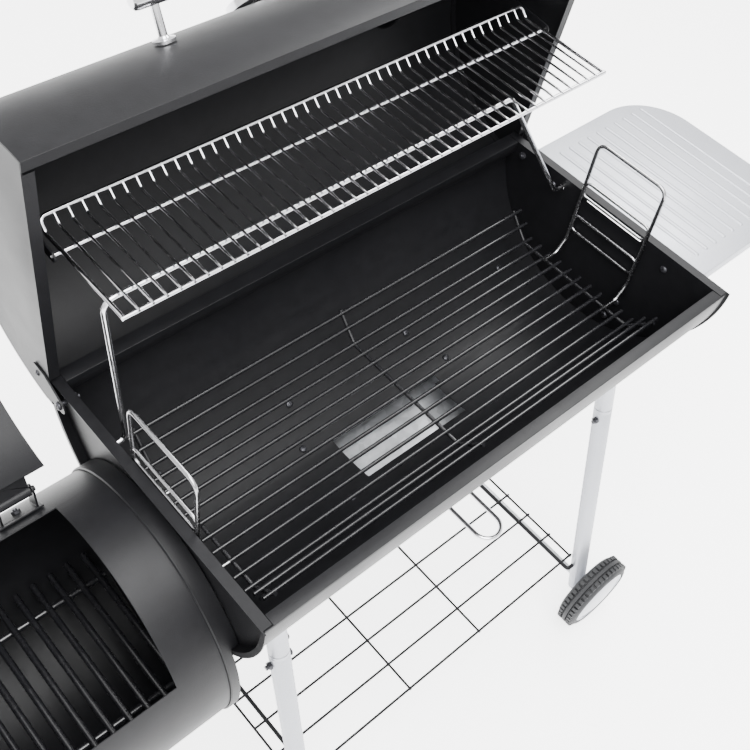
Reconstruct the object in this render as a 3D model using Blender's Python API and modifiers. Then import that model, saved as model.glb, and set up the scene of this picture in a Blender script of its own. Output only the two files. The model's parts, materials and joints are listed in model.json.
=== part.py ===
"""Barrel charcoal grill with an offset firebox, built as an assembly of separate parts.

Units are metres and +Z is up. The barrel lies along X, with the firebox on its left
end (-X) and the side shelf on its right end (+X). The cook stands in front, at -Y.
Every part is laid out from the barrel's centre, which is the middle of the rim plane.
The origin is on the ground under the middle of the whole grill, with both lids open.
"""
import math

import bpy
import bmesh
from mathutils import Matrix, Vector

# ---- driving dimensions -------------------------------------------------------
SHEET = 0.0015                  # thickness of the steel sheet
GAP = 0.0004                    # gap between pieces that touch

CHAMBER_LENGTH = 0.700          # barrel, outside
CHAMBER_RADIUS = 0.180
RIM_HEIGHT = 0.660              # rim of the trough over the ground
WALL_X = 0.340                  # inner face of each end wall
WALL_FLANGE_RADIUS = 0.1781     # the end wall's edge, which sits inside the trough
WALL_BEAD_RADIUS = 0.183
BEAD_X = (0.3504, 0.3519)       # the bead over the trough's edge
SLOT_Z = (-0.011, -0.005)       # the slot the grate's handles hook in
RUNG_Y = (-0.055, 0.037)
FLANGE_END_X = 0.3395
FRONT_FLANGE_WIDTH = 0.014
FRONT_FLANGE_DROP = 0.008
REAR_FLANGE_WIDTH = 0.018
REAR_LIP_DROP = 0.016
ARC_STEPS = 24                  # faces round half of the barrel

ASH_OPENING_X = (-0.078, 0.086)
ASH_OPENING_Y = (-0.040, 0.026)
PAN_X = 0.004                   # middle of the ash pan
PAN_SIZE = (0.214, 0.124, 0.028)
PAN_TOP = -0.184
PAN_HANDLE_X = 0.005
PAN_HANDLE_WIDTH = 0.036
PAN_HANDLE_REACH = 0.183
PAN_Y = -0.007
PAN_RAIL_WIDTH = 0.018
PAN_RAIL_Y = (-0.070, 0.058)
PAN_LIP = 0.010

LID_RADIUS = 0.176
LID_HALF_LENGTH = 0.355
LID_EDGE = 0.005                # the closed lid's edge over the rim plane
LID_LIP = 0.012
LID_REAR_ANGLE = 4.0            # the sheet stops here so that it clears the trough
LID_END_LIP_REAR = 0.130
LID_OPEN_ANGLE = 85.0           # degrees from closed to the stop, where it rests
HINGE_Y = 0.1485
HINGE_Z = -0.013
HINGE_PLATE_X = (0.3554, 0.3574)
HINGE_PLATE_RADIUS = 0.010
HINGE_PLATE_TOP = 0.034
BOLT_RADIUS = 0.003
BOLT_HEAD = 0.003
BOLT_HEAD_RADIUS = 0.005
BOLT_NUT = 0.004
LID_HANDLE_ANGLE = 150.0
LID_HANDLE_HALF = 0.160
LID_HANDLE_OUT = 0.042
THERMOMETER_ANGLE = 122.0

CHIMNEY_X = 0.235
CHIMNEY_RADIUS = 0.036
CHIMNEY_HEIGHT = 0.220
CHIMNEY_FLANGE = 0.016
CHIMNEY_CAP_RADIUS = 0.039
CAP_THICKNESS = 0.002
CAP_PIN_Y = -0.043              # the cap's pin, beside the pipe
CAP_PIN_RADIUS = 0.0025
CAP_GRIP = 0.014                # how far the cap's tab reaches past its edge
CAP_LUG = 0.018
CAP_LUG_RADIUS = 0.008

GRATE_WIRE = 0.0025             # radius
GRATE_CENTRE_Y = -0.005
GRATE_FLOOR = -0.105            # height of the flat wires' centres
GRATE_PITCH = 0.0182
GRATE_FLAT_WIRES = 11
GRATE_SIDE_STEPS = ((0.1055, -0.089), (0.120, -0.076))
GRATE_X = (-0.306, 0.320)
GRATE_CROSS_X = (-0.294, 0.001, 0.309)
GRATE_HANDLE_FOOT_X = (0.322, 0.300)
HANDLE_WIRE = 0.0025
HANDLE_X = 0.337
HANDLE_Y = (-0.062, 0.044)
HANDLE_TOP = 0.081
HANDLE_BEND = -0.082
RUNG_HEIGHTS = ((-0.003, 0.019), (-0.061, -0.036))

RACK_HALF_LENGTH = 0.322
RACK_HEIGHT = 0.178
RACK_FRONT = 0.062
RACK_BEND = 0.187
RACK_REAR = (0.198, 0.190)
RACK_TINES = 18
RACK_TINE_MARGIN = 0.010
RACK_TINE_RADIUS = 0.0015
RACK_RAIL_RADIUS = 0.0023
RACK_PIVOT_Y = 0.163
RACK_LEG_RADIUS = 0.003
RACK_LEG_X = 0.325
RACK_LEG_LEAN_IN = 0.125        # how far the right leg leans in at its top
RACK_LEG_BEND = 0.016
RACK_CROSSBAR_Y = 0.092
HANGER_X = (0.3300, 0.3320)
HANGER_LENGTH = 0.130
HANGER_WIDTH = 0.012

FIREBOX_RADIUS = 0.150
FIREBOX_Z = -0.182
FIREBOX_LENGTH = 0.330
FIREBOX_DISH = 0.0085
SMOKE_WAY_HALF_WIDTH = 0.070
SMOKE_WAY_Z = (-0.135, -0.075)
FIREBOX_COLLAR_X = -0.360
FIREBOX_OPENING_X = (-0.645, -0.415)
FIREBOX_OPENING_ANGLES = (-63.0, 27.0)      # degrees from the top, + is rearwards
FIREBOX_LID_ANGLES = (-67.0, 30.0)
FIREBOX_LID_X = (-0.652, -0.408)
FIREBOX_LID_OPEN_ANGLE = 146.0
FIREBOX_HINGE_Y = 0.090
FIREBOX_HINGE_Z = -0.031
FIREBOX_HINGE_X = (-0.615, -0.445)
FIREBOX_HINGE_HALF = 0.020
FIREBOX_HINGE_ANGLES = (32.0, 44.0)
FIREBOX_HANDLE_ANGLE = -55.0
FIREBOX_HANDLE_X = -0.530
FIREBOX_GRATE_Z = -0.245
FIREBOX_GRATE_X = (-0.660, -0.380)
FIREBOX_GRATE_HALF = 0.112
FIREBOX_BARS = 12
FIREBOX_VENT_Z = -0.215
VENT_RADIUS = 0.048
VENT_HOLES = 5
VENT_HOLE_RING = 0.028
VENT_HOLE_RADIUS = 0.009

LEG_RADIUS = 0.0125
LEG_WALL = 0.0015
LEG_X = 0.280
LEG_TOP = (0.108, -0.144)       # where a leg's axis meets the barrel, |y| and z
LEG_SPLAY = 12.63               # degrees from upright, towards the cook or the rear
LEG_JOINT_Z = -0.228
LEG_SPIGOT = 0.034
LEG_CORNERS = (
    ("front_left", -1, -1), ("front_right", 1, -1), ("rear_left", -1, 1), ("rear_right", 1, 1))
LEFT_LEG_END_Z = -0.648
FOOT_SLEEVE = 0.024
FOOT_WALL = 0.0025
AXLE_Z = -0.595
AXLE_RADIUS = 0.005
RIGHT_LEG_END_Z = -0.614

WHEEL_RADIUS = 0.065
WHEEL_WIDTH = 0.033
WHEEL_FACE_Y = 0.257            # outer face of each tyre
HUB_RADIUS = 0.050
HUB_BULGE = 0.003

WIRE_SHELF_Z = -0.554
WIRE_SHELF_X = 0.275
WIRE_SHELF_Y = 0.184
WIRE_SHELF_PITCH = 0.046
WIRE_SHELF_ROD_X = 0.255
WIRE_SHELF_ROD_END = 0.1975
SHELF_WIRE = 0.0018
SHELF_ROD = 0.003
WIRE_SHELF_CROSS_X = 0.070

SIDE_SHELF_X = (0.358, 0.591)
SIDE_SHELF_Y = (-0.140, 0.143)
SIDE_SHELF_TOP = -0.009
SIDE_SHELF_CORNER = 0.080
SIDE_SHELF_SKIRT = 0.015
SHELF_RIBS = 10
SHELF_RIB_X = 0.383
SHELF_RIB_PITCH = 0.019
SHELF_RIB_WIDTH = 0.006
SHELF_RIB_Y = (-0.115, 0.122)
SHELF_RIB_HEIGHT = 0.0012
SHELF_BRACKET_Y = (-0.098, 0.091)
BRACKET_WIDTH = 0.020
BRACKET_BAR = 0.003
BRACKET_END_X = 0.560

# ---- places worked out from them ----------------------------------------------
LEG_LEAN = math.tan(math.radians(LEG_SPLAY))
PIVOT_DROP = RACK_TINE_RADIUS + RACK_RAIL_RADIUS
RACK_PIVOT_Z = RACK_HEIGHT - PIVOT_DROP + 0.0006
CROSSBAR_Z = RACK_HEIGHT - RACK_RAIL_RADIUS - GAP - RACK_LEG_RADIUS
RACK_CRANK = (RACK_PIVOT_Y - HINGE_Y, RACK_PIVOT_Z - HINGE_Z)
RACK_FOOT = (RACK_CROSSBAR_Y - RACK_CRANK[0], CROSSBAR_Z - RACK_CRANK[1])
LID_TURN = -math.radians(LID_OPEN_ANGLE)


def turned_about(point, centre, angle):
    """A (y, z) point turned about a centre, as the right-hand rule about +X turns it."""
    y, z = point[0] - centre[0], point[1] - centre[1]
    cos, sin = math.cos(angle), math.sin(angle)
    return (centre[0] + y * cos - z * sin, centre[1] + y * sin + z * cos)



RACK_PIVOT_CLOSED = turned_about((RACK_PIVOT_Y, RACK_PIVOT_Z), (HINGE_Y, HINGE_Z), -LID_TURN)
CHIMNEY_TOP = LID_EDGE + LID_RADIUS + CHIMNEY_HEIGHT
CHIMNEY_REACH = turned_about(
    (CHIMNEY_CAP_RADIUS + CAP_GRIP, CHIMNEY_TOP + GAP + CAP_THICKNESS), (HINGE_Y, HINGE_Z), LID_TURN)[0]
GRILL_LEFT = -(BEAD_X[1] + FIREBOX_LENGTH + 2 * GAP + SHEET)
GRILL_RIGHT = SIDE_SHELF_X[1]
GRILL_FRONT = -(WHEEL_FACE_Y + HUB_BULGE)
CENTRE = Vector((-(GRILL_LEFT + GRILL_RIGHT) / 2, -(GRILL_FRONT + CHIMNEY_REACH) / 2, RIM_HEIGHT))

COLOURS = {
    "black": ((0.022, 0.022, 0.024), 0.45, 0.1),
    "chrome": ((0.80, 0.80, 0.82), 0.15, 1.0),
    "silver": ((0.62, 0.63, 0.65), 0.40, 0.6),
    "zinc": ((0.72, 0.73, 0.74), 0.35, 0.8),
    "tyre": ((0.10, 0.10, 0.11), 0.85, 0.0),
    "wood": ((0.30, 0.16, 0.08), 0.60, 0.0),
    "dial": ((0.85, 0.85, 0.82), 0.30, 0.0),
}


# ---- scene and object helpers -------------------------------------------------
def clear_scene():
    """Remove every object of the open scene."""
    for item in list(bpy.data.objects):
        bpy.data.objects.remove(item, do_unlink=True)


def make_collection(name):
    """A new collection, linked to the scene."""
    group = bpy.data.collections.new(name)
    bpy.context.scene.collection.children.link(group)
    return group


def make_material(name, colour):
    """A plain Principled material in one of the grill's colours."""
    base, roughness, metallic = COLOURS[colour]
    material = bpy.data.materials.new(name)
    material.use_nodes = True
    shader = material.node_tree.nodes["Principled BSDF"]
    shader.inputs["Base Color"].default_value = (*base, 1.0)
    shader.inputs["Roughness"].default_value = roughness
    shader.inputs["Metallic"].default_value = metallic
    return material


def add_axis(name, point, turn=0.0):
    """An empty on a joint's axis, at a point in barrel coordinates."""
    empty = bpy.data.objects.new(name, None)
    empty.empty_display_size = 0.05
    GRILL.objects.link(empty)
    empty.parent = BARREL
    empty.location = point
    empty.rotation_euler.x = turn
    AXIS_POINTS[name] = Vector(point)
    return empty


def add_part(name, mesh, colour, axis=None):
    """One named part. Its mesh is in barrel coordinates, and it hangs on its joint's empty."""
    mesh.name = name
    mesh.materials.clear()
    mesh.materials.append(make_material(name, colour))
    part = bpy.data.objects.new(name, mesh)
    GRILL.objects.link(part)
    part.parent = axis if axis is not None else BARREL
    if axis is not None:
        part.location = -AXIS_POINTS[axis.name]
    return part


# ---- mesh helpers, all in barrel coordinates ----------------------------------
def evaluated_mesh(item):
    """The mesh of an object with its modifiers applied."""
    depsgraph = bpy.context.evaluated_depsgraph_get()
    return bpy.data.meshes.new_from_object(item.evaluated_get(depsgraph))


def temporary_object(data):
    """An object that carries a mesh or a curve while it is worked on."""
    item = bpy.data.objects.new("work", data)
    bpy.context.scene.collection.objects.link(item)
    return item


def cleaned(mesh):
    """Merge the doubles of a mesh and turn its faces outwards."""
    shape = bmesh.new()
    shape.from_mesh(mesh)
    bmesh.ops.remove_doubles(shape, verts=shape.verts, dist=1e-5)
    bmesh.ops.recalc_face_normals(shape, faces=shape.faces)
    shape.to_mesh(mesh)
    shape.free()
    return mesh


def combined(first, others, operation):
    """One mesh made by a Boolean of the first with each of the others."""
    body = temporary_object(first)
    tools = [temporary_object(mesh) for mesh in others]
    for tool in tools:
        modifier = body.modifiers.new("join", "BOOLEAN")
        modifier.operation = operation
        modifier.object = tool
    result = evaluated_mesh(body)
    for item in (body, *tools):
        bpy.data.objects.remove(item, do_unlink=True)
    return cleaned(result)


def union(first, *others):
    return combined(first, others, "UNION")


def cut(first, *cutters):
    return combined(first, cutters, "DIFFERENCE")


def prism(outline, low, high, axis="X"):
    """A flat outline made solid along an axis. Along X it holds (y, z), and along Z (x, y)."""
    shape = bmesh.new()
    if axis == "X":
        corners = [shape.verts.new((low, a, b)) for a, b in outline]
        step = Vector((high - low, 0, 0))
    else:
        corners = [shape.verts.new((a, b, low)) for a, b in outline]
        step = Vector((0, 0, high - low))
    base = shape.faces.new(corners)
    grown = bmesh.ops.extrude_face_region(shape, geom=[base], use_keep_orig=True)
    moved = [item for item in grown["geom"] if isinstance(item, bmesh.types.BMVert)]
    bmesh.ops.translate(shape, verts=moved, vec=step)
    bmesh.ops.recalc_face_normals(shape, faces=shape.faces)
    mesh = bpy.data.meshes.new("prism")
    shape.to_mesh(mesh)
    shape.free()
    return mesh


def box(low, high):
    """A box from its lowest to its highest corner."""
    low, high = Vector(low), Vector(high)
    shape = bmesh.new()
    size = high - low
    place = Matrix.Translation((low + high) / 2) @ Matrix.Diagonal((*size, 1))
    bmesh.ops.create_cube(shape, size=1.0, matrix=place)
    mesh = bpy.data.meshes.new("box")
    shape.to_mesh(mesh)
    shape.free()
    return mesh


def along(start, end):
    """The matrix that lays +Z along the line from start to end."""
    start, end = Vector(start), Vector(end)
    return Matrix.Translation(start) @ (end - start).to_track_quat("Z", "Y").to_matrix().to_4x4()


def rod(start, end, radius, steps=12):
    """A solid round bar from start to end."""
    length = (Vector(end) - Vector(start)).length
    shape = bmesh.new()
    bmesh.ops.create_cone(
        shape, cap_ends=True, segments=steps, radius1=radius, radius2=radius, depth=length,
        matrix=along(start, end) @ Matrix.Translation((0, 0, length / 2)))
    mesh = bpy.data.meshes.new("rod")
    shape.to_mesh(mesh)
    shape.free()
    return mesh


def turned(profile, start, end, steps=24, closed=False):
    """A profile of (radius, height) points turned about the line from start towards end."""
    mesh = bpy.data.meshes.new("profile")
    edges = [(i, i + 1) for i in range(len(profile) - 1)]
    if closed:
        edges.append((len(profile) - 1, 0))
    mesh.from_pydata([(r, 0, h) for r, h in profile], edges, [])
    item = temporary_object(mesh)
    screw = item.modifiers.new("turn", "SCREW")
    screw.steps = steps
    screw.render_steps = steps
    screw.use_merge_vertices = True
    screw.merge_threshold = 1e-5
    result = evaluated_mesh(item)
    bpy.data.objects.remove(item, do_unlink=True)
    result.transform(along(start, end))
    return cleaned(result)


def tube(start, end, radius, wall, steps=12):
    """A round pipe, open at both ends."""
    length = (Vector(end) - Vector(start)).length
    inner = radius - wall
    profile = [(radius, 0), (radius, length), (inner, length), (inner, 0)]
    return turned(profile, start, end, steps, closed=True)


def wires(paths, radius, sides=4, closed=False):
    """Round wires along lists of points, as one mesh. 4 to 8 sides."""
    curve = bpy.data.curves.new("wire", "CURVE")
    curve.dimensions = "3D"
    curve.bevel_depth = radius
    curve.bevel_resolution = (sides - 4) // 2
    curve.use_fill_caps = not closed
    for points in paths:
        spline = curve.splines.new("POLY")
        spline.points.add(len(points) - 1)
        spline.use_cyclic_u = closed
        for target, point in zip(spline.points, points):
            target.co = (*point, 1)
    item = temporary_object(curve)
    result = evaluated_mesh(item)
    bpy.data.objects.remove(item, do_unlink=True)
    return cleaned(result)


def arc(radius, first, last, steps, centre=(0.0, 0.0)):
    """(y, z) points round a circle, in degrees from +Y towards +Z."""
    angles = [math.radians(first + (last - first) * i / steps) for i in range(steps + 1)]
    return [(centre[0] + radius * math.cos(a), centre[1] + radius * math.sin(a)) for a in angles]


def folded(profile, thickness):
    """The outline of a sheet whose outer side is the profile, thickened to its left."""
    count = len(profile)
    normals = []
    for i in range(count - 1):
        step = Vector(profile[i + 1]) - Vector(profile[i])
        normals.append(Vector((-step.y, step.x)).normalized())
    inner = []
    for i, point in enumerate(profile):
        before, after = normals[max(i - 1, 0)], normals[min(i, count - 2)]
        middle = (before + after).normalized()
        inner.append(tuple(Vector(point) + middle * thickness / middle.dot(after)))
    return list(profile) + inner[::-1]


# ---- barrel -------------------------------------------------------------------
def trough():
    """The open half barrel with its folded rims and the ash opening in its floor."""
    sheet = arc(CHAMBER_RADIUS, 180, 360, ARC_STEPS)
    end_x = CHAMBER_LENGTH / 2
    front = [(-CHAMBER_RADIUS + FRONT_FLANGE_WIDTH, -FRONT_FLANGE_DROP), sheet[0], sheet[1]]
    rear_x = CHAMBER_RADIUS - REAR_FLANGE_WIDTH
    rear = [sheet[-2], sheet[-1], (rear_x, 0.0), (rear_x, -REAR_LIP_DROP)]
    body = prism(folded(sheet, SHEET), -end_x, end_x)
    flanges = [prism(folded(profile, SHEET), -FLANGE_END_X, FLANGE_END_X) for profile in (front, rear)]
    body = union(body, *flanges)
    opening = box(
        (ASH_OPENING_X[0], ASH_OPENING_Y[0], -CHAMBER_RADIUS - 0.010),
        (ASH_OPENING_X[1], ASH_OPENING_Y[1], -CHAMBER_RADIUS + 0.015))
    add_part("trough", cut(body, opening), "black")


def half_disc(radius, top):
    """The outline of the lower half of a disc, closed along a level line."""
    points = arc(radius, 180, 360, ARC_STEPS)
    return [(-radius, top), *points[1:-1], (radius, top)]


def end_wall(name, side):
    """A dished end of the trough: a panel, a flange inside the sheet, and a bead over its edge."""
    def between(first, last):
        return sorted((side * first, side * last))

    body = union(
        prism(half_disc(WALL_FLANGE_RADIUS, 0.0), *between(WALL_X, BEAD_X[1])),
        prism(half_disc(WALL_BEAD_RADIUS, 0.0), *between(*BEAD_X)))
    dish = prism(half_disc(WALL_FLANGE_RADIUS - SHEET, -SHEET), *between(WALL_X + SHEET, BEAD_X[1] + 0.01))
    slot = box(
        (side * WALL_X - 0.005, RUNG_Y[0], SLOT_Z[0]),
        (side * WALL_X + 0.005, RUNG_Y[1], SLOT_Z[1]))
    holes = [
        rod((side * (WALL_X - 0.005), *RACK_FOOT), (side * (WALL_X + 0.005), *RACK_FOOT), RACK_LEG_RADIUS + GAP),
        rod((side * (WALL_X - 0.005), HINGE_Y, HINGE_Z), (side * (WALL_X + 0.005), HINGE_Y, HINGE_Z),
            BOLT_RADIUS + GAP)]
    if side < 0:
        holes.append(prism(smoke_way(GAP), -WALL_X - 0.005, -WALL_X + 0.005))
    add_part(name, cut(body, dish, slot, *holes), "black")


def smoke_way(margin):
    """The outline of the way through from the firebox to the barrel."""
    half, low, high = SMOKE_WAY_HALF_WIDTH + margin, SMOKE_WAY_Z[0] - margin, SMOKE_WAY_Z[1] + margin
    return [(-half, low), (half, low), (half, high), (-half, high)]


def bolt(name, start, end, parts_colour="zinc"):
    """A hexagon bolt with its nut, along the line from under its head to its end."""
    length = (Vector(end) - Vector(start)).length
    nut = length - BOLT_NUT - 0.002
    profile = [
        (0, -BOLT_HEAD), (BOLT_HEAD_RADIUS, -BOLT_HEAD), (BOLT_HEAD_RADIUS, 0), (BOLT_RADIUS, 0),
        (BOLT_RADIUS, nut), (BOLT_HEAD_RADIUS, nut), (BOLT_HEAD_RADIUS, nut + BOLT_NUT),
        (BOLT_RADIUS, nut + BOLT_NUT), (BOLT_RADIUS, length), (0, length)]
    add_part(name, turned(profile, start, end, 6), parts_colour)


# ---- legs, wheels and shelves --------------------------------------------------
def leg_point(side_x, side_y, height, radius=0.0):
    """The point of a leg's axis at a height."""
    return Vector((side_x * LEG_X, side_y * (LEG_TOP[0] + (LEG_TOP[1] - height) * LEG_LEAN), height))


def leg(corner, side_x, side_y):
    """A leg: a stub on the barrel with a spigot, the long tube on it, and the bolt through both."""
    top = leg_point(side_x, side_y, -0.100)
    joint = leg_point(side_x, side_y, LEG_JOINT_Z)
    bottom = leg_point(side_x, side_y, RIGHT_LEG_END_Z if side_x > 0 else LEFT_LEG_END_Z)
    down = (bottom - joint).normalized()
    first = (joint - top).length
    inner = LEG_RADIUS - LEG_WALL
    spigot = inner - GAP
    profile = [
        (LEG_RADIUS, 0), (LEG_RADIUS, first), (spigot, first), (spigot, first + LEG_SPIGOT),
        (spigot - LEG_WALL, first + LEG_SPIGOT), (spigot - LEG_WALL, 0)]
    stub = turned(profile, top, joint, 12, closed=True)
    tube_part = tube(joint + down * GAP, bottom, LEG_RADIUS, LEG_WALL)
    middle = joint + down * LEG_SPIGOT / 2
    across = Vector((LEG_RADIUS + 0.0005, 0, 0))
    hole = rod(middle - across * 2, middle + across * 2, BOLT_RADIUS + GAP)
    barrel = rod((-0.4, 0, 0), (0.4, 0, 0), CHAMBER_RADIUS + 2 * GAP, 2 * ARC_STEPS)
    add_part("leg_stub_" + corner, cut(stub, barrel, hole), "silver")
    cutters = [hole]
    if side_x > 0:
        axle = Vector((side_x * LEG_X, 0, AXLE_Z))
        reach = Vector((0, 0.3, 0))
        cutters.append(rod(axle - reach, axle + reach, AXLE_RADIUS + GAP))
    add_part("leg_" + corner, cut(tube_part, *cutters), "silver")
    bolt("leg_bolt_" + corner, middle + across, middle - across - Vector((BOLT_NUT + 0.003, 0, 0)), "black")


def leg_foot(corner, side_y):
    """A plastic cap on the end of a left leg, flat on the ground."""
    end = leg_point(-1, side_y, LEFT_LEG_END_Z)
    down = (end - leg_point(-1, side_y, LEG_JOINT_Z)).normalized()
    start = end - down * FOOT_SLEEVE
    inner, outer = LEG_RADIUS + GAP, LEG_RADIUS + FOOT_WALL
    profile = [
        (outer, 0), (outer, FOOT_SLEEVE + 0.025), (0, FOOT_SLEEVE + 0.025),
        (0, FOOT_SLEEVE + GAP), (inner, FOOT_SLEEVE + GAP), (inner, 0)]
    cap = turned(profile, start, end, 12, closed=True)
    ground = box((-0.5, -0.4, -RIM_HEIGHT - 0.1), (0, 0.4, -RIM_HEIGHT))
    add_part("leg_foot_" + corner, cut(cap, ground), "tyre")


def bottom_shelf():
    """The wire shelf between the legs: long wires, a frame, cross wires and two thick rods."""
    count = round(2 * WIRE_SHELF_Y / WIRE_SHELF_PITCH)
    lines = [-WIRE_SHELF_Y + i * 2 * WIRE_SHELF_Y / count for i in range(count + 1)]
    end = WIRE_SHELF_X + 0.002
    z = WIRE_SHELF_Z
    long_wires = wires([[(-end, y, z), (end, y, z)] for y in lines], SHELF_WIRE)
    under = z - SHELF_WIRE * 1.4
    reach = WIRE_SHELF_Y + 0.002
    cross = wires(
        [[(x, -reach, under), (x, reach, under)]
         for x in (-WIRE_SHELF_X, -WIRE_SHELF_CROSS_X, WIRE_SHELF_CROSS_X, WIRE_SHELF_X)], SHELF_WIRE)
    rod_z = z - (SHELF_WIRE + SHELF_ROD) * 0.85
    hook = LEG_X - LEG_RADIUS - GAP * 2
    rods = []
    for side in (-1, 1):
        rods.append([
            (side * hook, -WIRE_SHELF_ROD_END, rod_z), (side * WIRE_SHELF_ROD_X, -WIRE_SHELF_ROD_END, rod_z),
            (side * WIRE_SHELF_ROD_X, WIRE_SHELF_ROD_END, rod_z), (side * hook, WIRE_SHELF_ROD_END, rod_z)])
    add_part("bottom_shelf", union(long_wires, cross, wires(rods, SHELF_ROD, 6)), "black")


def wheel(name, side_y):
    """A wheel on its axle: a tyre, and the hub that turns with it."""
    axis = add_axis(name + "_axis", (LEG_X, side_y * (WHEEL_FACE_Y - WHEEL_WIDTH / 2), AXLE_Z))
    inner = (LEG_X, side_y * (WHEEL_FACE_Y - WHEEL_WIDTH), AXLE_Z)
    outer = (LEG_X, side_y * WHEEL_FACE_Y, AXLE_Z)
    width, edge, seat = WHEEL_WIDTH, 0.006, HUB_RADIUS + 2 * GAP
    tyre_profile = [
        (WHEEL_RADIUS - edge, 0), (WHEEL_RADIUS, edge), (WHEEL_RADIUS, width - edge),
        (WHEEL_RADIUS - edge, width), (seat, width), (seat, 0)]
    add_part(name + "_tyre", turned(tyre_profile, inner, outer, 36, closed=True), "tyre", axis)
    bore, rim, boss = AXLE_RADIUS + GAP, 0.004, 0.003
    hub_profile = [
        (bore, boss), (bore + 0.009, boss), (bore + 0.009, 0.010), (HUB_RADIUS - rim, 0.010),
        (HUB_RADIUS - rim, 0.001), (HUB_RADIUS, 0.001), (HUB_RADIUS, width - 0.001),
        (HUB_RADIUS - 2 * rim, width - 0.003), (0.012, width + HUB_BULGE), (0, width + HUB_BULGE),
        (0, width - 0.004), (bore, width - 0.004)]
    add_part(name + "_hub", turned(hub_profile, inner, outer, 24, closed=True), "silver", axis)


def wheel_axle():
    reach = WHEEL_FACE_Y - 0.005
    add_part("wheel_axle", rod((LEG_X, -reach, AXLE_Z), (LEG_X, reach, AXLE_Z), AXLE_RADIUS), "zinc")


def shelf_outline(inset):
    """The side shelf's outline from above, with round outer corners, set in by a margin."""
    left, right = SIDE_SHELF_X
    front, rear = SIDE_SHELF_Y
    radius = SIDE_SHELF_CORNER - inset
    x, low, high = right - SIDE_SHELF_CORNER, front + SIDE_SHELF_CORNER, rear - SIDE_SHELF_CORNER
    left = left - (0.01 if inset else 0)
    return [
        (left, rear - inset), (left, front + inset),
        *arc(radius, -90, 0, 8, (x, low)), *arc(radius, 0, 90, 8, (x, high))]


def side_shelf():
    """A folded sheet tray with pressed ribs, its skirt on three sides."""
    top = SIDE_SHELF_TOP
    body = prism(shelf_outline(0), top - SIDE_SHELF_SKIRT, top, axis="Z")
    hollow = prism(shelf_outline(SHEET), top - SIDE_SHELF_SKIRT - 0.01, top - SHEET, axis="Z")
    ribs = []
    for i in range(SHELF_RIBS):
        x = SHELF_RIB_X + i * SHELF_RIB_PITCH
        ribs.append(box(
            (x - SHELF_RIB_WIDTH / 2, SHELF_RIB_Y[0], top - SHEET / 2),
            (x + SHELF_RIB_WIDTH / 2, SHELF_RIB_Y[1], top + SHELF_RIB_HEIGHT)))
    add_part("side_shelf", union(cut(body, hollow), *ribs), "silver")


def shelf_bracket(name, y):
    """A flat bar bent to an angle, from the end wall out under the side shelf."""
    arm_top = SIDE_SHELF_TOP - SHEET - GAP
    low_y, high_y = y - BRACKET_WIDTH / 2, y + BRACKET_WIDTH / 2
    root = WALL_X + SHEET + GAP
    upright = box((root, low_y, -0.040), (root + BRACKET_BAR, high_y, arm_top))
    arm = box((root, low_y, arm_top - BRACKET_BAR), (BRACKET_END_X, high_y, arm_top))
    add_part(name, union(upright, arm), "black")


def tool_hook():
    """The small black bar on the front right leg, on two short pegs."""
    start, end = leg_point(1, -1, -0.218), leg_point(1, -1, -0.268)
    out = Vector((LEG_RADIUS + GAP, 0, 0))
    bar_out = out + Vector((0.006, 0, 0))
    bar = wires([[start + out, start + bar_out, end + bar_out, end + out]], 0.0022, 6)
    add_part("tool_hook", bar, "black")


# ---- ash pan --------------------------------------------------------------------
def ash_pan_rail(name, side):
    """An angle under the barrel that carries one edge of the ash pan."""
    inner = PAN_X + side * (PAN_SIZE[0] / 2 + GAP * 2)
    outer = inner + side * SHEET
    far = outer + side * PAN_RAIL_WIDTH
    low = PAN_TOP - PAN_SIZE[2] - GAP
    front, rear = PAN_RAIL_Y

    def block(x1, x2, z1, z2):
        return box((min(x1, x2), front, z1), (max(x1, x2), rear, z2))

    web = block(inner, outer, low - SHEET, -0.120)
    lip = block(inner - side * PAN_LIP, outer, low - SHEET, low)
    barrel = rod((-0.3, 0, 0), (0.3, 0, 0), CHAMBER_RADIUS + 2 * GAP, 2 * ARC_STEPS)
    angles = [math.degrees(math.asin(y / CHAMBER_RADIUS)) for y in (front, rear)]
    outline = arc(CHAMBER_RADIUS + 2 * GAP + SHEET * 1.2, 270 + angles[0], 270 + angles[1], 8)
    top = [(outline[-1][0], -0.120), (outline[0][0], -0.120)]
    flange = prism(outline + top, min(inner, far), max(inner, far))
    add_part(name, cut(union(web, lip, flange), barrel), "black")


def ash_pan():
    """The tray that slides out forwards, with its wire handle."""
    axis = add_axis("ash_pan_axis", (PAN_X, 0, PAN_TOP))
    half_x, half_y, depth = PAN_SIZE[0] / 2, PAN_SIZE[1] / 2, PAN_SIZE[2]
    y = PAN_Y
    tray = box((PAN_X - half_x, y - half_y, PAN_TOP - depth), (PAN_X + half_x, y + half_y, PAN_TOP))
    hollow = box(
        (PAN_X - half_x + SHEET, y - half_y + SHEET, PAN_TOP - depth + SHEET),
        (PAN_X + half_x - SHEET, y + half_y - SHEET, PAN_TOP + 0.01))
    z = PAN_TOP - depth + 0.006
    side = PAN_HANDLE_WIDTH / 2
    front = y - half_y
    loop = [(PAN_HANDLE_X - side, front + 0.001, z), (PAN_HANDLE_X - side, -PAN_HANDLE_REACH + side, z)]
    for i in range(1, 8):
        turn = math.radians(180 + 180 * i / 8)
        across, on = side * math.cos(turn), side + side * math.sin(turn)
        loop.append((PAN_HANDLE_X + across, on - PAN_HANDLE_REACH, z))
    loop += [(PAN_HANDLE_X + side, -PAN_HANDLE_REACH + side, z), (PAN_HANDLE_X + side, front + 0.001, z)]
    add_part("ash_pan", union(cut(tray, hollow), wires([loop], 0.0028, 6)), "zinc", axis)


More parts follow.
